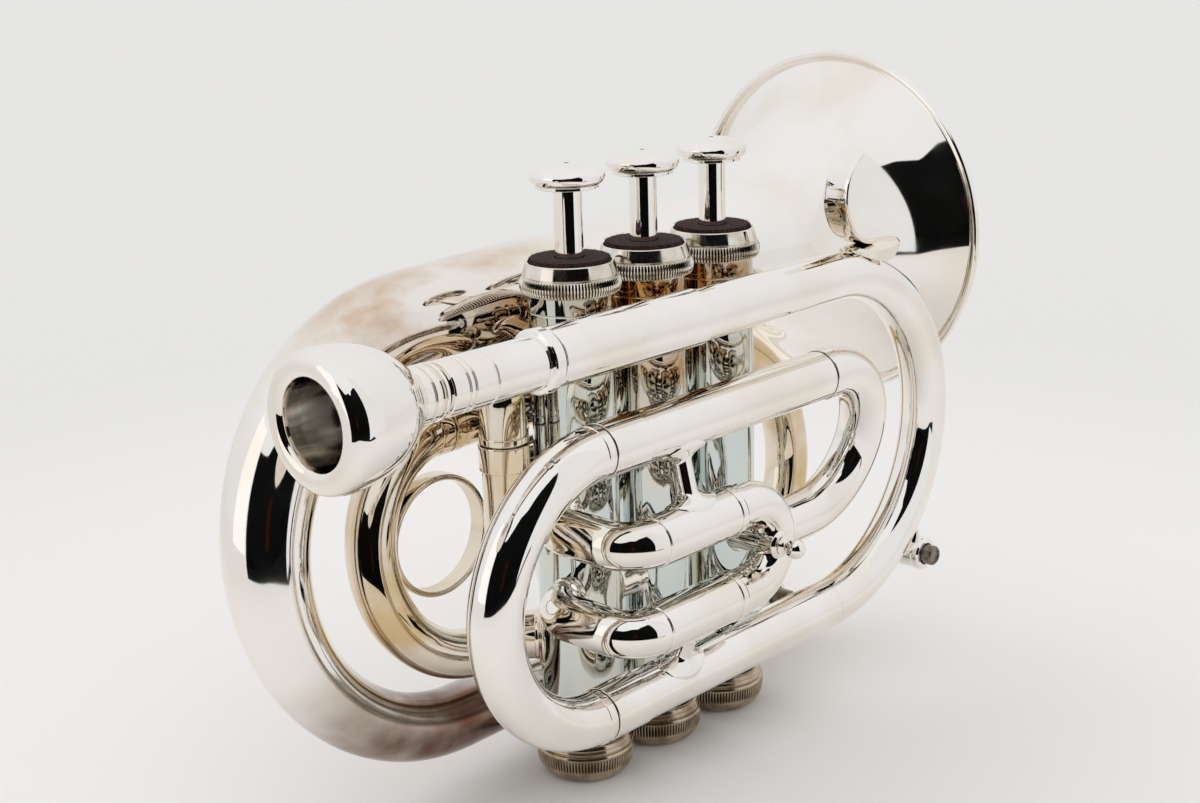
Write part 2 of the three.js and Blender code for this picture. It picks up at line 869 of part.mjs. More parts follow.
function firstSlideCrook() {
  const radius = (firstUpperHeight - firstLowerHeight) / 2;
  const middle = (firstUpperHeight + firstLowerHeight) / 2;
  const start = firstSleeveFront + seatGap;
  const line = new BentLine([
    [start, firstY, firstUpperHeight],
    [firstCrookStart + radius, firstY, firstUpperHeight],
    [firstCrookStart + radius, firstY, firstLowerHeight],
    [start, firstY, firstLowerHeight],
  ], [radius, radius]);
  const inner = firstSleeveFront - firstEngagement;
  const legs = [firstUpperHeight, firstLowerHeight].map((height) => [
    [start + seatGap, firstY, height],
    [inner, firstY, height],
  ]);
  const crook = slideCrook(line, legs, firstRadius, firstLeg, firstLegBore);
  const bossX = firstBossPlace();
  const boss = straightPipe(
    [bossX, firstY - firstRadius - firstBossProud, middle],
    [bossX, firstY + firstBossRadius, middle],
    firstBossRadius,
  );
  return cut(joined(crook, boss), boreAlong(line, firstLegBore));
}

// The pull knob screws into the boss: a waisted neck and a ball.
function firstSlideKnob() {
  const neck = firstKnobRadius / 2;
  const ballCentre = firstKnobReach - firstKnobRadius;
  const ball = [-Math.PI / 4, 0, Math.PI / 4].map((angle) => [
    firstKnobRadius * Math.cos(angle),
    ballCentre + firstKnobRadius * Math.sin(angle),
  ]);
  const knob = revolved([
    [0, 0],
    [firstKnobRadius, 0],
    [firstKnobRadius, neck / 2],
    [neck, neck],
    [neck, ballCentre - firstKnobRadius],
    ...ball,
    [0, firstKnobReach],
  ], pipeSides);
  const foot = [
    firstBossPlace(),
    firstY - firstRadius - firstBossProud - seatGap,
    (firstUpperHeight + firstLowerHeight) / 2,
  ];
  return standing(knob, foot, rightward);
}

function secondSlideTube(height, room) {
  const outer = straightPipe([0, 0, height], [0, secondSleeveEnd, height], secondSleeveRadius);
  const bore = straightPipe([0, 0, height], [0, secondSleeveEnd + overrun, height], secondRadius);
  return cut(outer, bore, room);
}

function secondSlideCrook() {
  const radius = (secondUpperHeight - secondLowerHeight) / 2;
  const start = secondSleeveEnd + seatGap;
  const line = new BentLine([
    [0, start, secondUpperHeight],
    [0, start + radius + radius, secondUpperHeight],
    [0, start + radius + radius, secondLowerHeight],
    [0, start, secondLowerHeight],
  ], [radius, radius]);
  const legs = [secondUpperHeight, secondLowerHeight].map((height) => [
    [0, start + seatGap, height],
    [0, secondSleeveEnd - secondEngagement, height],
  ]);
  return slideCrook(line, legs, secondRadius, secondLeg, secondLegBore);
}

// The third slide's fixed tubes run back along the far side and turn up behind the first valve.
function thirdSlideTube(feedHeight, turnX, [legX, legY], room) {
  const line = new BentLine([
    [valvePlaces[2], 0, feedHeight],
    [valvePlaces[2], thirdFeedY, feedHeight],
    [turnX, thirdFeedY, feedHeight],
    [legX, legY, feedHeight],
    [legX, legY, thirdSleeveTop],
  ], [thirdFeedBend - seatGap, thirdFeedBend, thirdFeedBend - seatGap]);
  const sleeve = straightPipe(
    [legX, legY, thirdSleeveTop - thirdSleeveLength],
    [legX, legY, thirdSleeveTop],
    thirdSleeveRadius,
  );
  const slideBore = straightPipe(
    [legX, legY, thirdSleeveTop - thirdEngagement - seatGap],
    [legX, legY, thirdSleeveTop + overrun],
    thirdSleeveBore,
  );
  return cut(joined(pipeAlong(line, thirdRadius), sleeve), slideBore, boreAlong(line, thirdLegBore), room);
}

function thirdSlideCrook() {
  const radius = Math.hypot(thirdFarX - thirdNearX, thirdFarY - thirdNearY) / 2;
  const start = thirdSleeveTop + seatGap;
  const line = new BentLine([
    [thirdNearX, thirdNearY, start],
    [thirdNearX, thirdNearY, thirdCrookLeg + radius],
    [thirdFarX, thirdFarY, thirdCrookLeg + radius],
    [thirdFarX, thirdFarY, start],
  ], [radius, radius]);
  const legs = [thirdNearLeg, thirdFarLeg].map(([x, y]) => [
    [x, y, start + seatGap],
    [x, y, thirdSleeveTop - thirdEngagement],
  ]);
  return slideCrook(line, legs, thirdRadius, thirdLeg, thirdLegBore);
}

// The fixed loop leaves the first casing at the back left and rises to the upper tube.
function loopBowRadius() {
  return Math.hypot(loopUpperHeight - loopLowerHeight, loopUpperY - loopLowerY) / 2;
}

function innerRearBow(room) {
  const radius = loopBowRadius();
  const line = new BentLine([
    [valvePlaces[0], 0, loopLowerHeight],
    [valvePlaces[0] - loopLowerY, loopLowerY, loopLowerHeight],
    [loopStart - radius, loopLowerY, loopLowerHeight],
    [loopStart - radius, loopUpperY, loopUpperHeight],
    [loopStart, loopUpperY, loopUpperHeight],
  ], [thirdFeedBend, radius, radius]);
  return cut(pipeAlong(line, loopRadius), boreAlong(line, mainLegBore), room);
}

function farUpperTube() {
  const start = [loopStart + seatGap, loopUpperY, loopUpperHeight];
  const end = [farBowStart - seatGap, loopUpperY, loopUpperHeight];
  return cut(
    straightPipe(start, end, loopRadius),
    straightPipe(
      [loopStart - overrun, loopUpperY, loopUpperHeight],
      [farBowStart + overrun, loopUpperY, loopUpperHeight],
      mainLegBore,
      boreSides,
    ),
  );
}

function farBowBend() {
  return Math.hypot(loopUpperHeight - bellTailHeight, loopUpperY - bellTailY) / 2;
}

function farBowLine() {
  const front = farBowStart + farBowBend();
  return new BentLine([
    [farBowStart, loopUpperY, loopUpperHeight],
    [front, loopUpperY, loopUpperHeight],
    [front, bellTailY, bellTailHeight],
    [farBowStart, bellTailY, bellTailHeight],
  ], [farBowBend(), farBowBend()]);
}

function farFrontBow() {
  return cut(pipeAlong(farBowLine(), farBowRadius), boreAlong(farBowLine(), mainLegBore));
}

// The bell's own tube: a widening tail along the bottom and the big rear bow up to the throat.
function bellBow() {
  const radius = Math.hypot(bellHeight - bellTailHeight, bellY - bellTailY) / 2;
  const tail = farBowStart - seatGap - bellBowStart;
  const whole = tail + Math.PI * radius;
  const tailShare = tail / whole;
  const line = new BentLine([
    [farBowStart - seatGap, bellTailY, bellTailHeight],
    [bellBowStart - radius, bellTailY, bellTailHeight],
    [bellBowStart - radius, bellY, bellHeight],
    [bellBowStart, bellY, bellHeight],
  ], [radius, radius]);
  const radiusAt = (share) => {
    if (share <= tailShare) {
      return THREE.MathUtils.lerp(bellTailRadius, bellTailEndRadius, share / tailShare);
    }
    const along = (share - tailShare) / (1 - tailShare);
    return THREE.MathUtils.lerp(bellTailEndRadius, bellThroat, along ** bellWidenPowerShare);
  };
  return taperedPipe(line, radiusAt, bellWall, bowSides);
}

// The flare's radius: a gentle cone that opens exponentially towards the rim.
function bellRadius(x) {
  const cone = bellThroat + bellTaperShare * (x - bellBowStart);
  const coneAtRim = bellThroat + bellTaperShare * (bellMouth - bellBowStart);
  const opening = bellRimRadius - bellBead - coneAtRim;
  return cone + opening * Math.exp((x - bellMouth) / bellFlareLength);
}

function bell() {
  const length = bellMouth - bellBowStart - seatGap - bellBead;
  const outer = bellStationShares.map((share) => {
    const x = bellBowStart + seatGap + length * share;
    return [bellRadius(x), x];
  });
  const inner = outer.toReversed().map(([radius, x]) => [radius - bellWall, x]);
  const rimX = bellMouth - bellBead;
  const bead = Array.from({ length: 4 }, (_, index) => {
    const angle = Math.PI * bellBeadSweepShare * ((2 * index) / 3 - 1);
    return [
      bellRimRadius - bellBead + bellBead * Math.cos(angle),
      rimX + bellBead * Math.sin(angle),
    ];
  });
  const body = revolved([...outer.slice(0, -1), ...bead, ...inner.slice(1)], flareSides);
  return standing(body, [0, bellY, bellHeight], forward);
}

// A strip ring for the finger, carried by the inner side of the rear loop
function fingerRing() {
  const inner = fingerRingRadius - fingerRingWall;
  const half = fingerRingWidth / 2;
  const ring = revolved([
    [inner, -half],
    [fingerRingRadius, -half],
    [fingerRingRadius, half],
    [inner, half],
  ], flareSides);
  const reach = loopBowRadius() - loopRadius - seatGap - fingerRingRadius;
  const height = (loopLowerHeight + loopUpperHeight) / 2 + fingerRingRise;
  const x = loopStart - Math.sqrt(reach ** 2 - fingerRingRise ** 2);
  return standing(ring, [x, fingerRingY, height], leftward);
}

// An open hook for the little finger on top of the front bow
function pinkyHook() {
  const bowRadius = frontBowRadius();
  const bowCentre = (leadHeight + mainLowerHeight) / 2;
  const surface = bowRadius + leadRadius;
  const centreHeight = bowCentre + Math.sqrt(surface ** 2 - (hookX - frontBowStart) ** 2) + hookRadius;
  const outline = new THREE.Shape();
  const tipAngle = Math.PI * hookReachShare;
  outline.absarc(0, 0, hookRadius, -tipAngle, tipAngle, true);
  outline.absarc(0, 0, hookRadius - hookWall, tipAngle, -tipAngle, false);
  const strip = new THREE.ExtrudeGeometry(outline, {
    depth: hookWidth,
    bevelEnabled: false,
    curveSegments: hookSteps,
  });
  strip.rotateX(Math.PI / 2).translate(hookX, leadY + hookWidth / 2, centreHeight);
  const room = pipeAlong(leadpipeLine(), leadRadius + seatGap);
  const foot = new THREE.Shape();
  const footHalf = hookRadius / 2;
  foot.moveTo(-footHalf, -hookWall);
  foot.lineTo(footHalf, -hookWall * 2);
  foot.lineTo(footHalf, -hookWall / 4);
  foot.lineTo(-footHalf, hookWall);
  const pad = new THREE.ExtrudeGeometry(foot, { depth: hookWidth, bevelEnabled: false });
  pad.rotateX(Math.PI / 2).translate(hookX, leadY + hookWidth / 2, centreHeight - hookRadius);
  return cut(joined(strip, pad), room);
}

// A turned post with a round foot at each end, fitted between two surfaces
function brace(from, to, ...rooms) {
  const start = new THREE.Vector3(...from);
  const end = new THREE.Vector3(...to);
  const length = start.distanceTo(end);
  const inset = braceFootHeight + seatGap;
  const post = revolved([
    [0, 0],
    [braceFootRadius, 0],
    [braceFootRadius, inset],
    [braceRadius, inset + braceFootHeight],
    [braceRadius, length - inset - braceFootHeight],
    [braceFootRadius, length - inset],
    [braceFootRadius, length],
    [0, length],
  ], pipeSides);
  const direction = end.clone().sub(start).toArray();
  return cut(standing(post, from, direction), ...rooms);
}

// The room that a straight tube leaves for what stands on it
function tubeRoom(y, height, radius) {
  return straightPipe(
    [mainCrookStart, y, height],
    [smallBowFerrule, y, height],
    radius + seatGap,
  );
}

function between(y, height, radius, toY, toHeight) {
  const way = new THREE.Vector2(toY - y, toHeight - height).normalize();
  const depth = radius * Math.cos(Math.PI / 4);
  return [braceX, y + way.x * depth, height + way.y * depth];
}

function slideBrace(mainY, mainHeight, slideHeight) {
  return brace(
    between(mainY, mainHeight, mainRadius, firstY, slideHeight),
    between(firstY, slideHeight, firstSleeveRadius, mainY, mainHeight),
    tubeRoom(mainY, mainHeight, mainRadius),
    straightPipe(
      [firstSleeveFront - firstSleeveLength, firstY, slideHeight],
      [firstSleeveFront, firstY, slideHeight],
      firstSleeveRadius + seatGap,
    ),
  );
}

function leadpipeBrace(room) {
  const height = leadHeight - leadRadius / 2;
  const x = valvePlaces[1];
  return brace(
    [x, leadY + leadRadius * Math.cos(Math.PI / 4), height],
    [x, -casingRadius * Math.cos(Math.PI / 8), height],
    tubeRoom(leadY, leadHeight, sleeveRadius),
    room,
  );
}

function bellBrace(index, room) {
  const x = valvePlaces[index];
  const height = bellHeight - bellBraceDrop;
  const surface = bellY - bellRadius(x);
  const stub = revolved([
    [0, 0],
    [braceFootRadius, 0],
    [braceFootRadius, surface],
    [0, surface],
  ], pipeSides);
  const bellRoom = revolved([
    [0, x - braceFootRadius * 2],
    [bellRadius(x - braceFootRadius * 2) + seatGap, x - braceFootRadius * 2],
    [bellRadius(x + braceFootRadius * 2) + seatGap, x + braceFootRadius * 2],
    [0, x + braceFootRadius * 2],
  ], flareSides);
  return cut(
    standing(stub, [x, casingRadius / 2, height], leftward),
    standing(bellRoom, [0, bellY, bellHeight], forward),
    room,
  );
}

// Water keys: a barrel across the outside of a bow, with a spring plunger that lets water out
function waterKeyPlace(startX, centreHeight, bowRadius, tubeRadius, angle) {
  const reach = bowRadius + tubeRadius + waterKeyStand + waterKeyRadius;
  return [startX + reach * Math.cos(angle), centreHeight + reach * Math.sin(angle)];
}

function waterKeyBarrel(x, y, height, inwardAngle, tubeRoomGeometry) {
  const start = y - waterKeyLength / 2;
  const end = y + waterKeyLength / 2;
  const barrel = straightPipe([x, start, height], [x, end, height], waterKeyRadius);
  const reach = waterKeyRadius + waterKeyStand * 2;
  const saddleRadius = waterKeyRadius - waterKeyRadius / 5;
  const saddle = straightPipe(
    [x, y, height],
    [x + reach * Math.cos(inwardAngle), y, height + reach * Math.sin(inwardAngle)],
    saddleRadius,
  );
  const boreEnd = end - waterKeyTravel / 2;
  const bore = straightPipe([x, start - overrun, height], [x, boreEnd, height], waterKeyBore);
  return cut(joined(barrel, saddle), bore, tubeRoomGeometry);
}

function waterKeyPlungerStud(x, y, height) {
  const start = y - waterKeyLength / 2 - waterKeyProud;
  const end = y + waterKeyLength / 2 - waterKeyTravel * 2;
  const bevel = waterKeyPlunger / 5;
  const stud = revolved([
    [0, 0],
    [waterKeyPlunger - bevel, 0],
    [waterKeyPlunger, bevel],
    [waterKeyPlunger, end - start],
    [0, end - start],
  ], pipeSides);
  return standing(stud, [x, start, height], leftward);
}

// Assembly

function silver(name, geometry) {
  return piece(name, geometry, 'silver');
}

function gathered(...pieces) {
  return new THREE.Group().add(...pieces);
}

function onLeadpipe(geometry, start) {
  return standing(geometry, [start, leadY, leadHeight], forward);
}

function leadpipeGroup() {
  return gathered(
    silver('mouthpiece', onLeadpipe(mouthpiece(), mouthpieceFront)),
    silver('mouthpiece_receiver', onLeadpipe(mouthpieceReceiver(), receiverMouth)),
    silver('leadpipe_sleeve', onLeadpipe(leadpipeSleeve(), sleeveStart)),
    silver('leadpipe', leadpipe()),
    silver('pinky_hook', pinkyHook()),
  );
}

function mainSlideGroup(room) {
  return gathered(
    silver('main_slide_upper_tube', mainSleeve(leadY, mainUpperHeight, smallBowFerrule)),
    silver('main_slide_lower_tube', mainSleeve(mainLowerY, mainLowerHeight, frontBowStart)),
    silver('main_tuning_crook', mainCrook()),
    silver('small_front_bow', smallFrontBow(room)),
  );
}

function valveSlideGroup(room) {
  return gathered(
    silver('first_slide_upper_tube', firstSlideTube(firstUpperHeight, room)),
    silver('first_slide_lower_tube', firstSlideTube(firstLowerHeight, room)),
    silver('first_slide_crook', firstSlideCrook()),
    silver('first_slide_knob', firstSlideKnob()),
    silver('second_slide_upper_tube', secondSlideTube(secondUpperHeight, room)),
    silver('second_slide_lower_tube', secondSlideTube(secondLowerHeight, room)),
    silver('second_slide_crook', secondSlideCrook()),
    silver(
      'third_slide_upper_tube',
      thirdSlideTube(thirdUpperFeedHeight, thirdUpperTurnX, thirdFarLeg, room),
    ),
    silver(
      'third_slide_lower_tube',
      thirdSlideTube(thirdLowerFeedHeight, thirdLowerTurnX, thirdNearLeg, room),
    ),
    silver('third_slide_crook', thirdSlideCrook()),
    silver('casing_link_1', casingLink(0, linkOneHeight, room)),
    silver('casing_link_2', casingLink(1, linkTwoHeight, room)),
  );
}

function bellGroup(room) {
  return gathered(
    silver('inner_rear_bow', innerRearBow(room)),
    silver('far_upper_tube', farUpperTube()),
    silver('far_front_bow', farFrontBow()),
    piece('bell_bow', bellBow(), 'warmSilver'),
    silver('bell', bell()),
    piece('finger_ring', fingerRing(), 'warmSilver'),
  );
}

function braceGroup(room) {
  return gathered(
    silver('slide_brace_upper', slideBrace(leadY, mainUpperHeight, firstUpperHeight)),
    silver('slide_brace_lower', slideBrace(mainLowerY, mainLowerHeight, firstLowerHeight)),
    silver('leadpipe_brace', leadpipeBrace(room)),
    silver('bell_brace_front', bellBrace(2, room)),
    silver('bell_brace_rear', bellBrace(0, room)),
  );
}

// One key under the large front bow, and one under the far front bow behind it
function waterKeys() {
  const nearAngle = -Math.PI / 4;
  const farAngle = -Math.PI / 3;
  const nearCentre = (leadHeight + mainLowerHeight) / 2;
  const farCentre = (loopUpperHeight + bellTailHeight) / 2;
  return [
    {
      place: waterKeyPlace(frontBowStart, nearCentre, frontBowRadius(), leadRadius, nearAngle),
      y: mainLowerY,
      inwardAngle: nearAngle + Math.PI,
      tube: pipeAlong(leadpipeLine(), leadRadius + seatGap),
    },
    {
      place: waterKeyPlace(farBowStart, farCentre, farBowBend(), farBowRadius, farAngle),
      y: bellTailY,
      inwardAngle: farAngle + Math.PI,
      tube: pipeAlong(farBowLine(), farBowRadius + seatGap),
    },
  ];
}

function waterKeyGroup() {
  return gathered(...waterKeys().flatMap(({ place: [x, height], y, inwardAngle, tube }, index) => [
    silver(`water_key_barrel_${index + 1}`, waterKeyBarrel(x, y, height, inwardAngle, tube)),
    piece(`water_key_plunger_${index + 1}`, waterKeyPlungerStud(x, y, height), 'darkSteel'),
  ]));
}

function pocketTrumpet() {
  const room = casingRoom();
  return gathered(
    ...valvePlaces.map((_, index) => valve(index)),
    leadpipeGroup(),
    mainSlideGroup(room),
    valveSlideGroup(room),
    bellGroup(room),
    braceGroup(room),
    waterKeyGroup(),
  );
}

export default pocketTrumpet();
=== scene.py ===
"""A silver-plated pocket trumpet, dressed and lit for a studio photograph.

Sizes are millimetres in the horn's own frame: +X towards the bell, +Y to the
player's left, +Z up along the valves. Meshes are stored in metres.
"""

import logging
import math
from dataclasses import dataclass, field
from enum import Enum
from typing import Any, Callable, Iterable, Optional, Sequence

import bpy
import numpy as np
from mathutils import Matrix, Vector


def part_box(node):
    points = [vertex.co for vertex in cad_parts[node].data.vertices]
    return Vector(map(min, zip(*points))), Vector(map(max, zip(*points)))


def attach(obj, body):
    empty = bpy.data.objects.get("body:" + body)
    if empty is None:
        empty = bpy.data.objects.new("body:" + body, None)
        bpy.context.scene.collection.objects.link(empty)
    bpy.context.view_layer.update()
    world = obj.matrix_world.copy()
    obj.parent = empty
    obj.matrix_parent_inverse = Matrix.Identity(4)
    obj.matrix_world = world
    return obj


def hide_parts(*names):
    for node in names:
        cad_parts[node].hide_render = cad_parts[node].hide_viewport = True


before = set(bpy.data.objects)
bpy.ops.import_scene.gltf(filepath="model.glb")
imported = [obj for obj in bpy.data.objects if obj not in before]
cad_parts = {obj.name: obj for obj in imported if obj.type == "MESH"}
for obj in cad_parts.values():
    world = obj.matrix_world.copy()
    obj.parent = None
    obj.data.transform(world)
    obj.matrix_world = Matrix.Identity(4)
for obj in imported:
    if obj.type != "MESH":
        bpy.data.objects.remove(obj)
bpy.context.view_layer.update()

LOG = logging.getLogger("pocket_trumpet")
MM = 0.001
FULL_TURN = 2.0 * math.pi
SEAT_GAP = 0.3  # between a slide's ring and the tube that it meets
PORT_REACH = 8.2  # from a valve's axis to where a pipe ends inside the casing's wall
COLLAR_REACH = 8.9  # from a valve's axis to the foot of a solder collar

RIGHT = np.array([0.0, -1.0, 0.0])
LEFT = np.array([0.0, 1.0, 0.0])
FORWARD = np.array([1.0, 0.0, 0.0])
UP = np.array([0.0, 0.0, 1.0])


class Slot(Enum):
    """The record's material slots."""

    SILVER = "silver_plate"
    WARM = "warm_silver_plate"
    NICKEL = "nickel_plate"
    MONEL = "piston_metal"
    SPRING = "spring_steel"
    STEEL = "dark_steel"
    FELT = "cap_felt"


class Body(Enum):
    """The bodies that pieces ride on."""

    HORN = "horn"
    MOUTHPIECE = "mouthpiece"
    MAIN = "main_slide"
    FIRST = "first_slide"
    SECOND = "second_slide"
    THIRD = "third_slide"
    VALVE_1 = "valve_1"
    VALVE_2 = "valve_2"
    VALVE_3 = "valve_3"
    KEY_1 = "water_key_1"
    KEY_2 = "water_key_2"


# Outlines and centre lines


def unit(vectors: np.ndarray) -> np.ndarray:
    """Vectors scaled to length one."""
    vectors = np.asarray(vectors, float)
    return vectors / np.linalg.norm(vectors, axis=-1, keepdims=True)


def arc_between(
    start: np.ndarray, end: np.ndarray, centre: np.ndarray, sweep: float, steps: int,
) -> np.ndarray:
    """Points on the arc from start to end: a weighted turn between the two radii.

    Args:
        start, end, centre: the arc's ends and its centre.
        sweep: the angle between the two radii, in radians.
        steps: how many straight steps stand for the arc.

    Returns:
        steps + 1 points.
    """
    share = np.linspace(0.0, 1.0, steps + 1)[:, None]
    weights = np.sin((1.0 - share) * sweep), np.sin(share * sweep)
    return centre + (weights[0] * (start - centre) + weights[1] * (end - centre)) / math.sin(sweep)


def rounded(corners: Sequence[Sequence[float]], radius: float = 0.2, steps: int = 4) -> np.ndarray:
    """An outline with an arc for each corner, and a point either side that keeps the flats flat.

    Args:
        corners: [radius, height] pairs, in order.
        radius: the arcs' radius; a short side limits it.
        steps: how many straight steps stand for each arc.

    Returns:
        The new outline. An outline whose ends lie on the axis keeps both ends.
    """
    outline = np.asarray(corners, float)
    open_ended = outline[0, 0] == 0.0 and outline[-1, 0] == 0.0
    last = len(outline) - 1
    made = []
    for index, corner in enumerate(outline):
        if open_ended and index in (0, last):
            made.append(corner[None])
            continue
        before, after = outline[index - 1] - corner, outline[(index + 1) % len(outline)] - corner
        lengths = np.linalg.norm(before), np.linalg.norm(after)
        before, after = before / lengths[0], after / lengths[1]
        inside = math.acos(float(np.clip(before @ after, -1.0, 1.0)))
        if inside > math.pi - 0.03:
            made.append(corner[None])
            continue
        setback = min(radius / math.tan(inside / 2.0), 0.42 * min(lengths))
        reach = setback / math.cos(inside / 2.0)
        arc = arc_between(
            corner + before * setback,
            corner + after * setback,
            corner + unit(before + after) * reach,
            math.pi - inside,
            steps,
        )
        guard = [min(setback * 1.4, 0.48 * length) for length in lengths]
        made += [(corner + before * guard[0])[None], arc, (corner + after * guard[1])[None]]
    return np.concatenate(made)


def flowing(points: Sequence[Sequence[float]], steps: int) -> np.ndarray:
    """A smooth outline through given points: a Catmull-Rom spline.

    Between two points it is a cubic whose slope at each is half the way from the point before
    to the point after.

    Args:
        points: [radius, height] pairs that the outline passes.
        steps: how many straight steps stand for each stretch.

    Returns:
        The outline's points.
    """
    knots = np.asarray(points, float)
    padded = np.vstack([2 * knots[0] - knots[1], knots, 2 * knots[-1] - knots[-2]])
    before, start = padded[:-3, None], padded[1:-2, None]
    end, after = padded[2:-1, None], padded[3:, None]
    t = np.linspace(0.0, 1.0, steps, endpoint=False)[None, :, None]
    curve = start + 0.5 * t * (end - before) + t ** 2 * (before - 2.5 * start + 2 * end - 0.5 * after)
    curve += 0.5 * t ** 3 * (3 * start - before - 3 * end + after)
    return np.vstack([curve.reshape(-1, 2), knots[-1]])


def bend_between(first: Sequence[float], second: Sequence[float]) -> float:
    """The radius of a half-turn bow between two parallel lines: half their distance."""
    return math.dist(first, second) / 2.0


@dataclass
class PipeLine:
    """A pipe's centre line: straight runs joined by round bends.

    Args:
        corners: where the straight runs would meet.
        bends: the radius of the bend at each inner corner.
        run: the spacing of the stations on straight runs.
        turn: the angle between stations in a bend, in degrees.
    """

    corners: Sequence[Sequence[float]]
    bends: Sequence[float] = ()
    run: float = 4.0
    turn: float = 3.0
    points: np.ndarray = field(init=False)
    tangents: np.ndarray = field(init=False)

    def __post_init__(self) -> None:
        """Lays the stations: even steps on each run, even angles in each bend."""
        corners = np.asarray(self.corners, float)
        points, tangents = [], []
        reached = corners[0]
        for index, radius in enumerate(self.bends, start=1):
            into = unit(corners[index] - corners[index - 1])
            out = unit(corners[index + 1] - corners[index])
            angle = math.acos(float(np.clip(into @ out, -1.0, 1.0)))
            start = corners[index] - into * radius * math.tan(angle / 2.0)
            axis = unit(np.cross(into, out))
            arm = np.cross(into, axis) * radius
            angles = np.linspace(0.0, angle, max(3, round(math.degrees(angle) / self.turn)) + 1)[:, None]
            self._add_run(points, tangents, reached, start)
            centre = start - arm
            points.append(centre + arm * np.cos(angles) + into * radius * np.sin(angles))
            tangents.append(into * np.cos(angles) - unit(arm) * np.sin(angles))
            reached = points[-1][-1]
        self._add_run(points, tangents, reached, corners[-1])
        every = np.concatenate(points)
        directions = np.concatenate(tangents)
        keep = np.r_[True, np.linalg.norm(np.diff(every, axis=0), axis=1) > 1e-4]
        self.points, self.tangents = every[keep], directions[keep]

    def _add_run(self, points: list, tangents: list, start: np.ndarray, end: np.ndarray) -> None:
        """Adds the stations of one straight run, if it has any length."""
        length = np.linalg.norm(end - start)
        if length < 1e-4:
            return
        share = np.linspace(0.0, 1.0, max(1, round(length / self.run)) + 1)[:, None]
        points.append(start + (end - start) * share)
        tangents.append(np.broadcast_to((end - start) / length, points[-1].shape))

    def lengths(self) -> np.ndarray:
        """The length of pipe that lies before each station."""
        return np.r_[0.0, np.cumsum(np.linalg.norm(np.diff(self.points, axis=0), axis=1))]


# Surfaces


def grid_quads(rows: int, columns: int, rows_close: bool, columns_close: bool) -> np.ndarray:
    """Four-cornered faces between the points of a grid.

    Args:
        rows, columns: the grid's size.
        rows_close, columns_close: whether the last row or column joins the first.

    Returns:
        The faces, as rows of four point numbers.
    """
    row, column = np.meshgrid(
        np.arange(rows if rows_close else rows - 1),
        np.arange(columns if columns_close else columns - 1),
        indexing="ij",
    )
    next_row, next_column = (row + 1) % rows, (column + 1) % columns
    corners = [
        row * columns + column,
        next_row * columns + column,
        next_row * columns + next_column,
        row * columns + next_column,
    ]
    return np.stack(corners, axis=-1).reshape(-1, 4)


@dataclass
class Skin:
    """One closed surface: its points in millimetres and its four-cornered faces."""

    points: np.ndarray
    quads: np.ndarray

    @classmethod
    def from_grid(cls, grid: np.ndarray, rows_close: bool, columns_close: bool = True) -> "Skin":
        """A skin over a grid of points, welded where points meet and turned to face outwards.

        Args:
            grid: an array of rows by columns by three.
            rows_close, columns_close: whether the last row or column joins the first.

        Returns:
            The skin. Twice its signed volume is summed over the faces, and a negative one is turned.
        """
        quads = grid_quads(grid.shape[0], grid.shape[1], rows_close, columns_close)
        flat = grid.reshape(-1, 3)
        _, first, place = np.unique(np.round(flat, 5), axis=0, return_index=True, return_inverse=True)
        points, quads = flat[first], place.reshape(-1)[quads]
        a, b, c, d = (points[quads[:, corner]] for corner in range(4))
        volume = (a * (np.cross(b, c) + np.cross(c, d))).sum()
        return cls(points, quads if volume > 0.0 else quads[:, ::-1])

    def faces(self) -> list:
        """Faces as lists: whole ones, and those with two corners in one place as triangles."""
        same = self.quads == np.roll(self.quads, -1, axis=1)
        whole = self.quads[same.sum(axis=1) == 0]
        pinched = self.quads[same.sum(axis=1) == 1]
        drop = same[same.sum(axis=1) == 1].argmax(axis=1)
        keep = (drop[:, None] + np.arange(1, 4)) % 4
        return whole.tolist() + np.take_along_axis(pinched, keep, axis=1).tolist()


def square_frames(tangents: np.ndarray) -> tuple[np.ndarray, np.ndarray]:
    """Two directions square to each tangent and to each other.

    They come from cross products with one helper direction, which is the one of a few that
    the tangents stay furthest away from, so the frames never flip along a pipe.

    Args:
        tangents: the line's directions.

    Returns:
        The side and up directions at each station.
    """
    signs = np.array(np.meshgrid([-1, 0, 1], [-1, 0, 1], [-1, 0, 1])).reshape(3, -1).T
    plane = np.cross(tangents[0], tangents[len(tangents) // 2])
    helpers = unit(np.vstack([signs[np.any(signs, axis=1)], plane if np.any(abs(plane) > 0.1) else UP]))
    helper = helpers[np.abs(tangents @ helpers.T).max(axis=0).argmin()]
    side = unit(np.cross(tangents, helper))
    return side, np.cross(side, tangents)


def ringed(points: np.ndarray, tangents: np.ndarray, radii: np.ndarray, sides: int) -> Skin:
    """A skin through rings square to a line: each ring is centre + radius (cos side + sin up).

    Args:
        points, tangents: the rings' centres and the line's directions there.
        radii: the rings' radii.
        sides: how many points lie on a ring.

    Returns:
        The skin, whose last ring joins the first.
    """
    side, up = square_frames(tangents)
    angle = np.linspace(0.0, FULL_TURN, sides, endpoint=False)[None, :, None]
    spokes = np.cos(angle) * side[:, None] + np.sin(angle) * up[:, None]
    return Skin.from_grid(points[:, None] + radii[:, None, None] * spokes, True)


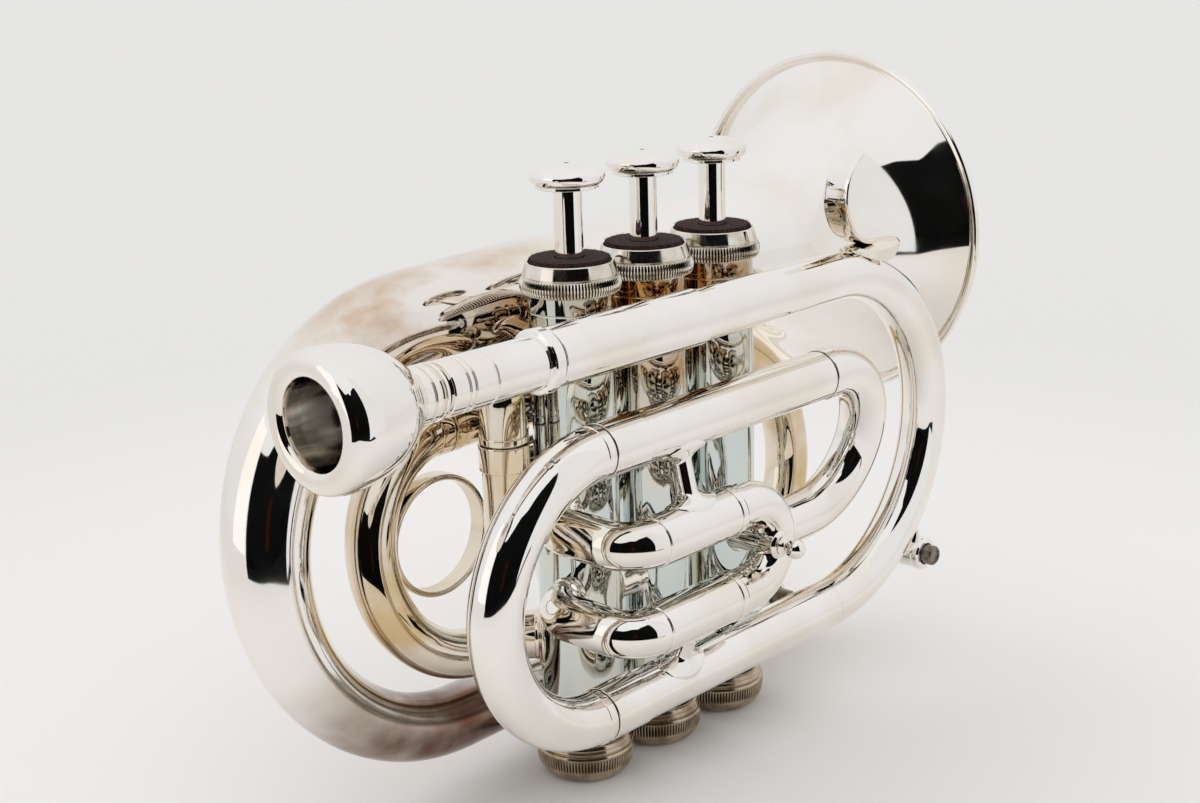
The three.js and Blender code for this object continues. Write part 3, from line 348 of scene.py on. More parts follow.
def pipe(line: PipeLine, outer: Any, inner: Any, sides: int = 72) -> Skin:
    """A pipe's wall: rings at the outer radius along the line, then back at the inner radius.

    Args:
        line: the centre line.
        outer, inner: radii, as one number or one for each station.
        sides: how many points lie on a ring.

    Returns:
        The wall as one closed skin.
    """
    count = len(line.points)
    order = np.r_[0:count, count - 1:-1:-1]
    radii = np.concatenate([np.broadcast_to(outer, count), np.broadcast_to(inner, count)[::-1]])
    return ringed(line.points[order], line.tangents[order], radii, sides)


def lathe(
    profile: np.ndarray,
    foot: Sequence[float],
    direction: np.ndarray,
    sides: int = 96,
    relief: Optional[Callable[[np.ndarray, np.ndarray, np.ndarray], np.ndarray]] = None,
) -> Skin:
    """A turned form: each [radius, height] pair of the profile is carried round the axis.

    Args:
        profile: the outline, which closes on itself or starts and ends on the axis.
        foot: where height zero is.
        direction: the axis.
        sides: how many points lie on a ring.
        relief: what to add to the radius, from the angle and the profile's radius and height.

    Returns:
        The turned skin.
    """
    direction = unit(direction)
    helper = UP if abs(direction[2]) < 0.5 else FORWARD
    side = unit(np.cross(direction, helper))
    up = np.cross(side, direction)
    angle = np.linspace(0.0, FULL_TURN, sides, endpoint=False)[None, :]
    height = profile[:, 1:2]
    radius = profile[:, 0:1] + np.zeros_like(angle)
    if relief is not None:
        radius = np.where(profile[:, 0:1] > 0.0, radius + relief(angle, profile[:, 0:1], height), radius)
    spokes = np.cos(angle)[..., None] * side + np.sin(angle)[..., None] * up
    grid = np.asarray(foot, float) + height[..., None] * direction + radius[..., None] * spokes
    open_ended = profile[0, 0] == 0.0 and profile[-1, 0] == 0.0
    return Skin.from_grid(grid, not open_ended)


def swept(
    points: np.ndarray, tangents: np.ndarray, side: np.ndarray, widths: np.ndarray, thickness: float,
) -> Skin:
    """A flat strip with round edges: at each point, width times side plus thickness times normal.

    Args:
        points, tangents: the strip's middle line.
        side: the direction of its width at each point.
        widths: its width at each point.
        thickness: its thickness.

    Returns:
        The strip, closed at both ends.
    """
    turn = np.linspace(0.0, FULL_TURN, 40, endpoint=False)
    across = np.sign(np.cos(turn)) * np.abs(np.cos(turn)) ** 0.35
    through = np.sign(np.sin(turn)) * np.abs(np.sin(turn)) ** 0.6
    normal = np.cross(unit(tangents), side)
    grid = points[:, None] + 0.5 * (
        widths[:, None, None] * across[None, :, None] * side[:, None]
        + thickness * through[None, :, None] * normal[:, None]
    )
    ends = np.broadcast_to(grid[[0, -1]].mean(axis=1, keepdims=True), grid[[0, -1]].shape)
    return Skin.from_grid(np.concatenate([ends[:1], grid, ends[1:]]), False)


def saddle(
    place: np.ndarray, way: np.ndarray, along: np.ndarray, foot: float, neck: float, reach: float,
    tube: float, length_share: float = 1.28,
) -> Skin:
    """A post's foot that sits astride a tube: a flare whose rim drops by R - sqrt(R^2 - w^2).

    Args:
        place: where the post meets the tube's surface.
        way: the post's direction, away from the tube.
        along: the tube's direction, along which the foot is drawn out.
        foot, neck: the flare's radius on the tube and where it ends.
        reach: the flare's height.
        tube: the tube's radius.
        length_share: how much longer than wide the foot is.

    Returns:
        The foot, closed inside the post.
    """
    way, along = unit(way), unit(along)
    side = np.cross(way, along)
    share = np.linspace(0.0, 1.0, 14)
    radius = np.r_[0.0, foot - 0.15, foot, neck + (foot - 0.25 - neck) * (1.0 - share) ** 3, 0.0]
    height = np.r_[-0.6, -0.6, 0.15, 0.45 + (reach - 0.45) * share, reach]
    drawn = 1.0 + (length_share - 1.0) * np.clip(radius - neck, 0.0, None) / max(foot - neck, 0.1)
    angle = np.linspace(0.0, FULL_TURN, 72, endpoint=False)[None, :]
    off = radius[:, None] * np.sin(angle)
    sag = tube - np.sqrt(np.clip(tube ** 2 - off ** 2, 0.0, None))
    drop = sag * np.clip(1.0 - height / reach, 0.0, 1.0)[:, None]
    grid = (
        np.asarray(place, float)
        + (radius * drawn)[:, None, None] * np.cos(angle)[..., None] * along
        + off[..., None] * side
        + (height[:, None] - drop)[..., None] * way
    )
    return Skin.from_grid(grid, False)


def flared_collar(place: Sequence[float], way: np.ndarray, radius: float) -> Skin:
    """A thin solder collar where a pipe leaves a casing: a ring that flares towards its foot.

    Args:
        place: the collar's foot.
        way: the pipe's direction, away from the casing.
        radius: the pipe's radius.

    Returns:
        The collar.
    """
    return lathe(flowing([
        [radius - 0.3, -0.4], [radius + 1.15, -0.4], [radius + 0.95, 0.35], [radius + 0.3, 0.85],
        [radius + 0.02, 1.7], [radius - 0.3, 1.75],
    ], 5), place, way, 72)


def band(
    line_start: Sequence[float], direction: np.ndarray, length: float, outer: float, inner: float,
) -> Skin:
    """A ring with softened edges round a pipe.

    Args:
        line_start, direction: where on the pipe's line the ring starts, and which way it runs.
        length: how far it runs.
        outer, inner: its radii.

    Returns:
        The ring.
    """
    profile = rounded([[inner, 0.0], [outer, 0.0], [outer, length], [inner, length]], 0.22)
    return lathe(profile, line_start, direction)


# Materials


def linear(colour: str) -> tuple[float, float, float, float]:
    """A hex sRGB colour as linear light."""
    values = (int(colour[place:place + 2], 16) / 255.0 for place in (1, 3, 5))
    return (*(v / 12.92 if v <= 0.04045 else ((v + 0.055) / 1.055) ** 2.4 for v in values), 1.0)


def add_node(
    tree: bpy.types.NodeTree, kind: str, settings: Optional[dict] = None, **inputs: Any,
) -> bpy.types.Node:
    """Adds a node, sets it up and feeds it.

    Args:
        tree: the node tree.
        kind: the node's type name.
        settings: its properties.
        inputs: values or sockets for its inputs; a name's underscores stand for spaces, and
            in_0 is its first input.

    Returns:
        The new node.
    """
    node = tree.nodes.new(kind)
    for name, value in (settings or {}).items():
        setattr(node, name, value)
    for name, value in inputs.items():
        key = int(name[3:]) if name.startswith("in_") else name.replace("_", " ")
        socket = node.inputs[key]
        if isinstance(value, bpy.types.NodeSocket):
            tree.links.new(value, socket)
        else:
            socket.default_value = value
    return node


def blend_colours(tree: bpy.types.NodeTree, share: Any, first: Any, second: Any) -> bpy.types.NodeSocket:
    """A colour between two.

    Args:
        tree: the node tree.
        share: how much of the second colour there is.
        first, second: the two colours.

    Returns:
        The blended colour's socket.
    """
    node = add_node(tree, "ShaderNodeMix", {"data_type": "RGBA"}, in_0=share, in_6=first, in_7=second)
    return node.outputs[2]


def product(tree: bpy.types.NodeTree, first: Any, second: Any) -> bpy.types.NodeSocket:
    """Two values multiplied."""
    return add_node(tree, "ShaderNodeMath", {"operation": "MULTIPLY"}, in_0=first, in_1=second).outputs[0]


def graded(
    tree: bpy.types.NodeTree, value: Any, low: float, high: float, start: float = 0.0, end: float = 1.0,
) -> bpy.types.NodeSocket:
    """A value stretched smoothly from one range to another.

    Args:
        tree: the node tree.
        value: the value's socket.
        low, high: the range that it comes from.
        start, end: what it becomes at low and at high.

    Returns:
        The new value's socket.
    """
    node = add_node(
        tree, "ShaderNodeMapRange", {"interpolation_type": "SMOOTHSTEP"},
        Value=value, From_Min=low, From_Max=high, To_Min=start, To_Max=end,
    )
    return node.outputs[0]


def noise(
    tree: bpy.types.NodeTree, place: Any, spacing: float, detail: float = 3.0,
    stretch: tuple[float, float, float] = (1, 1, 1),
) -> bpy.types.NodeSocket:
    """Noise in the object's own space.

    Args:
        tree: the node tree.
        place: the coordinates' socket.
        spacing: how far apart the blotches are, in millimetres.
        detail: how many finer layers it has.
        stretch: how much longer the blotches are along X, Y and Z.

    Returns:
        The noise's socket.
    """
    scale = tuple(1.0 / (spacing * MM * s) for s in stretch)
    mapped = add_node(tree, "ShaderNodeMapping", Vector=place, Scale=scale)
    made = add_node(tree, "ShaderNodeTexNoise", Vector=mapped.outputs[0], Scale=1.0, Detail=detail)
    return made.outputs["Fac"]


@dataclass(frozen=True)
class Zone:
    """A region of a piece, as a ball whose edge fades from inner to outer radius."""

    centre: tuple[float, float, float]
    inner: float
    outer: float

    def mask(self, tree: bpy.types.NodeTree, place: Any) -> Any:
        """One inside the ball, nought outside: the distance from the centre, graded."""
        centre = tuple(value * MM for value in self.centre)
        away = add_node(tree, "ShaderNodeVectorMath", {"operation": "DISTANCE"}, in_0=place, in_1=centre)
        return graded(tree, away.outputs["Value"], self.inner * MM, self.outer * MM, 1.0, 0.0)


@dataclass(frozen=True)
class SilverPlate:
    """Bright silver plate on brass, buffed to a mirror.

    A yellow sulphide film comes and goes over it, a darker colour lies in its zones, which is brown patina on
    the bell and painted shade in the mouthpiece's cup, and hairline buffing marks and finger smears break the
    reflections a little.
    """

    name: str
    clean: str = "#F5F1EC"
    film: str = "#E4D4B6"
    film_least: float = 0.0
    film_share: float = 0.32
    film_spacing: float = 26.0
    patina: str = "#6E4A38"
    patina_dulling: float = 0.16
    zones: tuple[Zone, ...] = ()
    gilt: str = "#C9A468"
    gilt_zones: tuple[Zone, ...] = ()
    gilt_shares: tuple[float, float] = (0.55, 1.0)
    mottle_spacing: float = 7.0
    mottle_stretch: tuple[float, float, float] = (1.6, 1, 1)
    roughness: float = 0.025
    smear: float = 0.045
    smear_spacing: float = 11.0
    scratch_spacing: float = 0.5
    scratch_stretch: tuple[float, float, float] = (14, 1, 1)
    scratch_depth: float = 0.04
    wave_spacing: float = 16.0
    wave_depth: float = 0.25

    def material(self) -> bpy.types.Material:
        """Builds the node tree: film, patina and painted shade in the colour, smears in the roughness.

        Returns:
            The material.
        """
        made = bpy.data.materials.new(self.name)
        made.use_nodes = True
        tree = made.node_tree
        shader = tree.nodes["Principled BSDF"]
        place = add_node(tree, "ShaderNodeTexCoord").outputs["Object"]
        blotches = noise(tree, place, self.film_spacing, 4.0)
        film = graded(tree, blotches, 0.42, 0.68, self.film_least, self.film_share)
        colour = blend_colours(tree, film, linear(self.clean), linear(self.film))
        mottle = noise(tree, place, self.mottle_spacing, 6.0, self.mottle_stretch)
        for zone in self.gilt_zones:
            cloudy = graded(tree, mottle, 0.38, 0.62, *self.gilt_shares)
            share = product(tree, zone.mask(tree, place), cloudy)
            colour = blend_colours(tree, share, colour, linear(self.gilt))
        smears = noise(tree, place, self.smear_spacing, 5.0)
        rough = graded(tree, smears, 0.45, 0.75, self.roughness, self.roughness + self.smear)
        # Patina on the bell, painted shade in the mouthpiece's cup: a darker, duller colour in each zone.
        for zone in self.zones:
            share = product(tree, zone.mask(tree, place), graded(tree, mottle, 0.3, 0.65, 0.5, 1.0))
            colour = blend_colours(tree, share, colour, linear(self.patina))
            rough = add_node(
                tree, "ShaderNodeMath", {"operation": "MULTIPLY_ADD"},
                in_0=share, in_1=self.patina_dulling, in_2=rough,
            ).outputs[0]
        shader.inputs["Metallic"].default_value = 1.0
        tree.links.new(colour, shader.inputs["Base Color"])
        tree.links.new(rough, shader.inputs["Roughness"])
        tree.links.new(self.relief(tree, place), shader.inputs["Normal"])
        return made

    def relief(self, tree: bpy.types.NodeTree, place: Any) -> bpy.types.NodeSocket:
        """Hairline marks of the buffing wheel over the faint waves of hand-drawn tube."""
        scratches = noise(tree, place, self.scratch_spacing, 2.0, self.scratch_stretch)
        waves = noise(tree, place, self.wave_spacing, 1.0)
        fine = add_node(
            tree, "ShaderNodeBump", Height=scratches, Strength=0.012, Distance=self.scratch_depth * MM,
        )
        broad = add_node(
            tree, "ShaderNodeBump", Height=waves, Strength=0.06, Distance=self.wave_depth * MM,
            Normal=fine.outputs[0],
        )
        return broad.outputs[0]


@dataclass(frozen=True)
class SatinMetal:
    """A metal with a fine turned or drawn grain, dulled in patches by handling.

    Where it is ribbed, painted shade darkens the grooves between the grip ribs.
    """

    name: str
    bright: str
    dull: str
    roughness: float = 0.25
    wear: float = 0.12
    wear_spacing: float = 5.0
    grain_spacing: float = 0.35
    grain_depth: float = 0.02
    ribbed: tuple[float, float] = (0.0, 0.0)
    rib_fade: float = 0.35
    ribs: int = 96
    axes_apart: float = 23.8
    # Painted shade: the colour that darkens the grooves between the grip ribs.
    groove_shade: str = "#3B2D20"

    def material(self) -> bpy.types.Material:
        """Builds the node tree: patches in the colour and roughness, grain in the relief.

        Returns:
            The material.
        """
        made = bpy.data.materials.new(self.name)
        made.use_nodes = True
        tree = made.node_tree
        shader = tree.nodes["Principled BSDF"]
        place = add_node(tree, "ShaderNodeTexCoord").outputs["Object"]
        patches = graded(tree, noise(tree, place, self.wear_spacing, 5.0), 0.35, 0.7)
        colour = blend_colours(tree, patches, linear(self.bright), linear(self.dull))
        # Painted shade in the grooves between the grip ribs.
        if self.ribbed[1] > self.ribbed[0]:
            colour = blend_colours(tree, self.grooves(tree, place), colour, linear(self.groove_shade))
        rough = graded(tree, patches, 0.0, 1.0, self.roughness, self.roughness + self.wear)
        grain = noise(tree, place, self.grain_spacing)
        relief = add_node(tree, "ShaderNodeBump", Height=grain, Strength=0.5, Distance=self.grain_depth * MM)
        shader.inputs["Metallic"].default_value = 1.0
        tree.links.new(colour, shader.inputs["Base Color"])
        tree.links.new(rough, shader.inputs["Roughness"])
        tree.links.new(relief.outputs[0], shader.inputs["Normal"])
        return made

    def grooves(self, tree: bpy.types.NodeTree, place: Any) -> bpy.types.NodeSocket:
        """Where painted shade darkens the grooves between the grip ribs.

        The cosine of the angle round the nearest valve's axis times the count of ribs is -1 at a
        groove's bottom. The mask fades out at both edges of the ribbed band.

        Args:
            tree: the node tree.
            place: the coordinates' socket.

        Returns:
            One in a groove, nought elsewhere.
        """
        def worked_out(operation: str, *values: Any) -> bpy.types.NodeSocket:
            """The socket of one step of arithmetic."""
            inputs = {f"in_{index}": value for index, value in enumerate(values)}
            return add_node(tree, "ShaderNodeMath", {"operation": operation}, **inputs).outputs[0]

        parts = add_node(tree, "ShaderNodeSeparateXYZ", Vector=place)
        half, fade = self.axes_apart * MM / 2.0, self.rib_fade * MM
        foot, top = (height * MM for height in self.ribbed)
        from_axis = worked_out("WRAP", parts.outputs["X"], half, -half)
        angle = worked_out("ARCTAN2", from_axis, parts.outputs["Y"])
        wave = worked_out("COSINE", worked_out("MULTIPLY", angle, float(self.ribs)))
        share = graded(tree, wave, -0.9, 0.3, 1.0, 0.0)
        share = product(tree, share, graded(tree, parts.outputs["Z"], foot, foot + fade, 0.0, 1.0))
        return product(tree, share, graded(tree, parts.outputs["Z"], top - fade, top, 1.0, 0.0))


@dataclass(frozen=True)
class WoolFelt:
    """Pressed wool felt: short matted fibres, very dark maroon, with a trace of sheen."""

    name: str
    deep: str = "#180907"
    lifted: str = "#4A221A"
    fibre_spacing: float = 0.5
    fibre_depth: float = 0.4

    def material(self) -> bpy.types.Material:
        """Builds the node tree: one fibre noise in the colour and the relief.

        Returns:
            The material.
        """
        made = bpy.data.materials.new(self.name)
        made.use_nodes = True
        tree = made.node_tree
        shader = tree.nodes["Principled BSDF"]
        place = add_node(tree, "ShaderNodeTexCoord").outputs["Object"]
        fibres = noise(tree, place, self.fibre_spacing, 6.0)
        colour = blend_colours(tree, graded(tree, fibres, 0.35, 0.7), linear(self.deep), linear(self.lifted))
        relief = add_node(tree, "ShaderNodeBump", Height=fibres, Strength=1.0, Distance=self.fibre_depth * MM)
        shader.inputs["Roughness"].default_value = 1.0
        shader.inputs["Sheen Weight"].default_value = 0.04
        tree.links.new(colour, shader.inputs["Base Color"])
        tree.links.new(relief.outputs[0], shader.inputs["Normal"])
        return made


# Mirror-bright tubes: whole reflections under a breath of yellow film.
BRIGHT = SilverPlate("buffed_silver_plate")
# Casings: the same mirror with a cooler, greyer base colour, a painted reflection of the dark teal-grey
# surroundings, turning gold below the top caps.
CASING = SilverPlate(
    "casing_silver_plate", clean="#D3DAD8", film_share=0.4, film_spacing=14.0, gilt="#B98A4C",
    gilt_zones=(Zone((0.0, 0.0, 116.0), 20.0, 38.0),),
)
# The far bows: a mirror gone straw yellow, since a cloth seldom reaches them.
REAR = SilverPlate(
    "tarnished_silver_plate", film="#CDAE74", film_least=0.35, film_share=0.85, film_spacing=18.0,
)
# The tubes behind the valves: yellow in clouds.
HIDDEN = SilverPlate("inner_silver_plate", film="#D2B67C", film_least=0.2, film_share=0.8)
# The bell: a slightly softer mirror with golden clouds above and dull brown patina underneath.
BELL = SilverPlate(
    "bell_silver_plate", film_share=0.35, film_spacing=30.0, mottle_spacing=15.0,
    zones=(Zone((-64.0, 14.0, -4.0), 24.0, 56.0),),
    gilt="#C0904E", gilt_shares=(0.15, 0.75),
    gilt_zones=(Zone((-60.0, 14.0, 114.0), 6.0, 30.0), Zone((-26.0, 15.0, 110.0), 4.0, 28.0)),
    roughness=0.04,
)
# The mouthpiece: a bright rim and body round a cup painted dark grey and dull, as painted shade inside the
# cup.
MOUTH = SilverPlate(
    "mouthpiece_silver_plate", patina="#4E4A44", zones=(Zone((-105.5, -23.3, 106.7), 6.0, 10.2),),
)
# The finger ring: even golden tarnish.
RING = SilverPlate("finger_ring_plate", film="#CFAF73", film_least=0.4, film_share=0.8)
# The hook: bright, with gold at its foot where the solder was cleaned.
HOOK = SilverPlate("hook_silver_plate", film_share=0.5, gilt_zones=(Zone((37.0, -23.0, 118.0), 1.0, 9.0),))
# Top caps: polished nickel, with painted shade in the grooves between the ribs.
CROWN = SatinMetal(
    "polished_nickel_plate", "#EAE4DA", "#CFC3AE", 0.05, grain_spacing=0.4, grain_depth=0.004,
    ribbed=(111.9, 115.3),
)
# Bottom caps: nickel dulled in worn patches, tinted warm brown as a painted reflection of the shadowed floor.
NICKEL = SatinMetal(
    "worn_nickel_painted_floor_reflection", "#C4B49D", "#8C7860", 0.14, grain_spacing=0.4, grain_depth=0.008,
    ribbed=(3.0, 6.1),
)
# Pistons: an even grey sheen from fine grinding.
MONEL = SatinMetal("ground_monel", "#BDBAB4", "#A3A099", 0.22, grain_spacing=0.2)
# Springs: bright drawn wire.
SPRING = SatinMetal("drawn_spring_wire", "#B7B3AA", "#8E897E", 0.25, grain_spacing=0.3)
# The water keys' studs: dull dark metal.
STEEL = SatinMetal("darkened_steel", "#8A8178", "#4E443C", 0.3, grain_spacing=0.3)
# Felts: nearly black wool with a maroon cast and no shine.
FELT = WoolFelt("maroon_felt")

MATERIALS: dict[Any, bpy.types.Material] = {}


def material_of(finish: Any) -> bpy.types.Material:
    """The material of a finish, made once."""
    if finish not in MATERIALS:
        MATERIALS[finish] = finish.material()
    return MATERIALS[finish]


# Pieces


@dataclass
class Piece:
    """One visible piece: its skins, its finish, the body it rides on and the nodes it stands for."""

    name: str
    skins: Iterable[Skin]
    finish: Any
    nodes: tuple[str, ...]
    slot: Slot = Slot.SILVER
    body: Body = Body.HORN
    crease: float = 40.0

    def make(self) -> bpy.types.Object:
        """Puts the skins into one mesh, in metres, and ties it to the frame."""
        skins = list(self.skins)
        starts = np.cumsum([0] + [len(skin.points) for skin in skins])
        points = np.concatenate([skin.points for skin in skins]) * MM
        faces = []
        for skin, start in zip(skins, starts):
            faces += Skin(skin.points, skin.quads + start).faces()
        mesh = bpy.data.meshes.new(self.name)
        mesh.from_pydata(points.tolist(), [], faces)
        mesh.validate()
        mesh.shade_smooth()
        mesh.set_sharp_from_angle(angle=math.radians(self.crease))
        mesh.materials.append(material_of(self.finish))
        made = bpy.data.objects.new(self.name, mesh)
        bpy.context.scene.collection.objects.link(made)
        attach(made, self.body.value)
        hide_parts(*self.nodes)
        LOG.info("%s: %d points on %s", self.name, len(mesh.vertices), self.body.value)
        return made


class Assembly:
    """A group of pieces that are built together."""

    def pieces(self) -> list[Piece]:
        """The assembly's pieces."""
        raise NotImplementedError

    def build(self) -> None:
        """Makes every piece."""
        LOG.info("building %s", type(self).__name__)
        for piece in self.pieces():
            piece.make()


# Places measured on the frame


def low(node: str) -> np.ndarray:
    """The lowest corner of a CAD node's box, in millimetres."""
    return np.array(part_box(node)[0]) / MM


def high(node: str) -> np.ndarray:
    """The highest corner of a CAD node's box, in millimetres."""
    return np.array(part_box(node)[1]) / MM


def middle(node: str) -> np.ndarray:
    """The middle of a CAD node's box, in millimetres."""
    return (low(node) + high(node)) / 2.0


@dataclass(frozen=True)
class Layout:
    """Where the main lines of the horn run, as measured on the frame."""

    lead_y: float
    lead_z: float
    upper_z: float
    lower_y: float
    lower_z: float
    first_y: float
    first_upper_z: float
    first_lower_z: float
    loop_y: float
    loop_z: float
    bell_y: float
    bell_z: float

    @classmethod
    def from_frame(cls) -> "Layout":
        """Reads the lines from the middles of the straight pieces."""
        lead, upper, lower = (middle(name) for name in (
            "leadpipe_sleeve", "main_slide_upper_tube", "main_slide_lower_tube",
        ))
        first, far, bell = middle("first_slide_crook"), middle("far_upper_tube"), middle("bell")
        return cls(
            lead[1], lead[2], upper[2], lower[1], lower[2], first[1],
            middle("first_slide_upper_tube")[2], middle("first_slide_lower_tube")[2],
            far[1], far[2], bell[1], bell[2],
        )


LAYOUT = Layout.from_frame()


# Assemblies


@dataclass
class Valve(Assembly):
    """One valve: casing, caps, felt, stem and finger button, on one upright axis."""

    number: int
    radius: float = 9.3
    bore: float = 8.4
    line_drop: float = 6.4
    cap_bore: float = 9.6
    stem_radius: float = 3.1
    stem_hole: float = 3.4
    teeth: int = 96
    points_per_tooth: int = 5
    tooth_depth: float = 0.42
    tooth_fade: float = 0.35
    felt_seed: int = 5
    felt_rim: float = 8.5
    felt_roughness: float = 0.13
    fibres: int = 700
    fibre_reach: float = 8.55
    fibre_lengths: tuple[float, float] = (0.5, 1.25)
    fibre_width: float = 0.07
    fibre_rise: float = 0.35

    def __post_init__(self) -> None:
        """Finds the valve's axis and heights on the frame."""
        casing = f"valve_casing_{self.number}"
        self.axis = np.array([middle(casing)[0], 0.0, 0.0])
        self.foot, self.top = low(casing)[2], high(casing)[2]
        self.moving = Body[f"VALVE_{self.number}"]

    def teeth_between(self, start: float, end: float, least: float) -> Callable:
        """Upright grip ridges: a sharpened cosine round the axis, faded at both heights.

        Args:
            start, end: the heights between which the ridges stand.
            least: inside this radius the surface stays plain.

        Returns:
            A relief for lathe().
        """
        def relief(angle: np.ndarray, radius: np.ndarray, height: np.ndarray) -> np.ndarray:
            """How far each point moves outwards: none on a ridge, the tooth's depth between two."""
            wave = (0.5 - 0.5 * np.cos(self.teeth * angle)) ** 1.5
            rising = np.clip((height - start) / self.tooth_fade, 0.0, 1.0)
            falling = np.clip((end - height) / self.tooth_fade, 0.0, 1.0)
            return -self.tooth_depth * wave * rising * falling * (radius > least)

        return relief

    def cap(self, profile: np.ndarray, relief: Callable) -> Skin:
        """A turned cap with enough points round it to draw every rib."""
        return lathe(rounded(profile, 0.12, 3), self.axis, UP, self.teeth * self.points_per_tooth, relief)

    def casing(self) -> Skin:
        """The casing, with a fine turned line below the top cap."""
        line = self.top - self.line_drop
        return lathe(rounded([
            [self.bore, self.foot], [self.radius, self.foot],
            [self.radius, line - 0.2], [self.radius - 0.14, line], [self.radius, line + 0.2],
            [self.radius, self.top], [self.bore, self.top],
        ], 0.1), self.axis, UP, 128)

    def bottom_cap(self) -> Skin:
        """The bottom cap: a domed, ribbed cup under a conical band with two turned lines."""
        turn = np.linspace(0.0, math.pi / 2.0, 16)[:, None]
        dome = np.hstack([7.7 + 3.45 * np.sin(turn), 5.2 * (1.0 - np.cos(turn))])
        cup = [[11.2, 6.4], [11.0, 6.95], [10.55, 7.1], [10.55, 7.3], [10.8, 7.45], [10.6, 8.2],
               [10.48, 8.28], [10.55, 8.4], [10.3, 9.2], [10.0, 9.5],
               [self.cap_bore, 9.5], [self.cap_bore, 2.8], [0.0, 2.8]]
        profile = np.vstack([[[0.0, 0.0], [7.3, 0.0]], dome, cup])
        return self.cap(profile, self.teeth_between(3.0, 6.1, 8.0))

    def top_cap(self) -> Skin:
        """The top cap: a rounded, ribbed bead under a polished rim that narrows upwards."""
        foot, top = low(f"top_cap_{self.number}")[2], high(f"top_cap_{self.number}")[2]
        turn = np.linspace(-math.pi / 2.0, math.pi / 2.0, 15)[:, None]
        bead = np.hstack([10.15 + 0.85 * np.cos(turn), foot + 1.85 + 1.8 * np.sin(turn)])
        floor, recess = top - 3.9, top - 2.2
        upper = [[10.1, foot + 3.75], [10.1, foot + 3.9], [10.38, foot + 4.0], [9.6, top - 0.2], [9.4, top],
                 [9.05, top], [8.95, recess], [self.stem_hole, recess], [self.stem_hole, floor],
                 [self.cap_bore, floor], [self.cap_bore, foot]]
        return self.cap(np.vstack([bead, upper]), self.teeth_between(foot + 0.1, foot + 3.6, 9.9))

    def felt(self) -> Skin:
        """The felt washer: a soft outline roughened by random heights."""
        foot, top = low(f"cap_felt_{self.number}")[2], high(f"cap_felt_{self.number}")[2]
        random = np.random.default_rng(self.felt_seed + self.number)

        def relief(angle: np.ndarray, radius: np.ndarray, height: np.ndarray) -> np.ndarray:
            """A random height for each point of the felt, and none at the stem's hole."""
            rough = random.normal(0.0, self.felt_roughness, (height.shape[0], angle.shape[1]))
            return rough * (radius > 4.0)

        rim, hole = self.felt_rim, self.stem_hole
        across = np.linspace(rim, hole, 22)[:, None]
        crown = np.hstack([across, top - 0.1 - 0.05 * (across - 5.7) ** 2 / 5.7])
        edge = [[hole, foot], [rim, foot], [rim + 0.2, foot + 0.8], [rim + 0.25, top - 0.8]]
        return lathe(np.vstack([edge, crown]), self.axis, UP, 180, relief)

    def fibre_skins(self) -> list[Skin]:
        """Loose fibres on the felt: thin three-sided slivers that lean out at random."""
        top = high(f"cap_felt_{self.number}")[2]
        random = np.random.default_rng(self.felt_seed * 7 + self.number)
        angle = random.uniform(0.0, FULL_TURN, self.fibres)
        radius = self.fibre_reach - 4.6 * random.uniform(0.0, 1.0, self.fibres) ** 2.2
        outward = np.stack([np.cos(angle), np.sin(angle), 0.0 * angle], 1)
        root = self.axis + outward * radius[:, None] + UP * (top - 0.55)
        lean = random.normal(0.0, 0.45, (self.fibres, 3)) + UP * 0.8 + 0.35 * outward
        tip = root + unit(lean) * random.uniform(*self.fibre_lengths, self.fibres)[:, None]
        tip[:, 2] = np.minimum(tip[:, 2], top + self.fibre_rise)
        across = unit(np.cross(lean, random.normal(0.0, 1.0, (self.fibres, 3)))) * self.fibre_width / 2.0
        third = np.cross(unit(lean), across)
        foot_ring = np.stack([root, root, root], 1)
        waist = np.stack([root + across, root + third, root - across], 1)
        tip_ring = np.stack([tip, tip, tip], 1)
        return [Skin.from_grid(grid, False) for grid in np.stack([foot_ring, waist, tip_ring], 1)]

    def stem(self) -> Skin:
        """The stem: a plain polished rod."""
        foot, top = low(f"valve_stem_{self.number}")[2], high(f"valve_stem_{self.number}")[2]
        rod = [[0.0, foot], [self.stem_radius, foot], [self.stem_radius, top], [0.0, top]]
        return lathe(rounded(rod, 0.15), self.axis, UP, 64)

    def button(self) -> Skin:
        """The finger button: a lens-shaped head on a thin flat collar."""
        foot, top = low(f"finger_button_{self.number}")[2], high(f"finger_button_{self.number}")[2]
        edge = foot + 2.75
        turn = np.linspace(-math.pi / 2.0, 0.0, 12)[:, None]
        under = np.hstack([6.9 + 1.22 * np.cos(turn), edge + 1.85 * np.sin(turn)])
        turn = np.linspace(0.0, math.pi / 2.0, 28)[:, None]
        dome = np.hstack([8.12 * np.cos(turn) ** 0.72, edge + (top - edge) * np.sin(turn) ** 1.15])
        dome[-1, 0] = 0.0
        collar = rounded([
            [0.0, foot], [5.6, foot], [6.75, foot + 0.12], [6.75, foot + 0.7], [6.5, foot + 0.86],
            [6.9, foot + 0.9],
        ], 0.1)[:-3]
        return lathe(np.vstack([collar, under, dome[1:]]), self.axis, UP, 128)

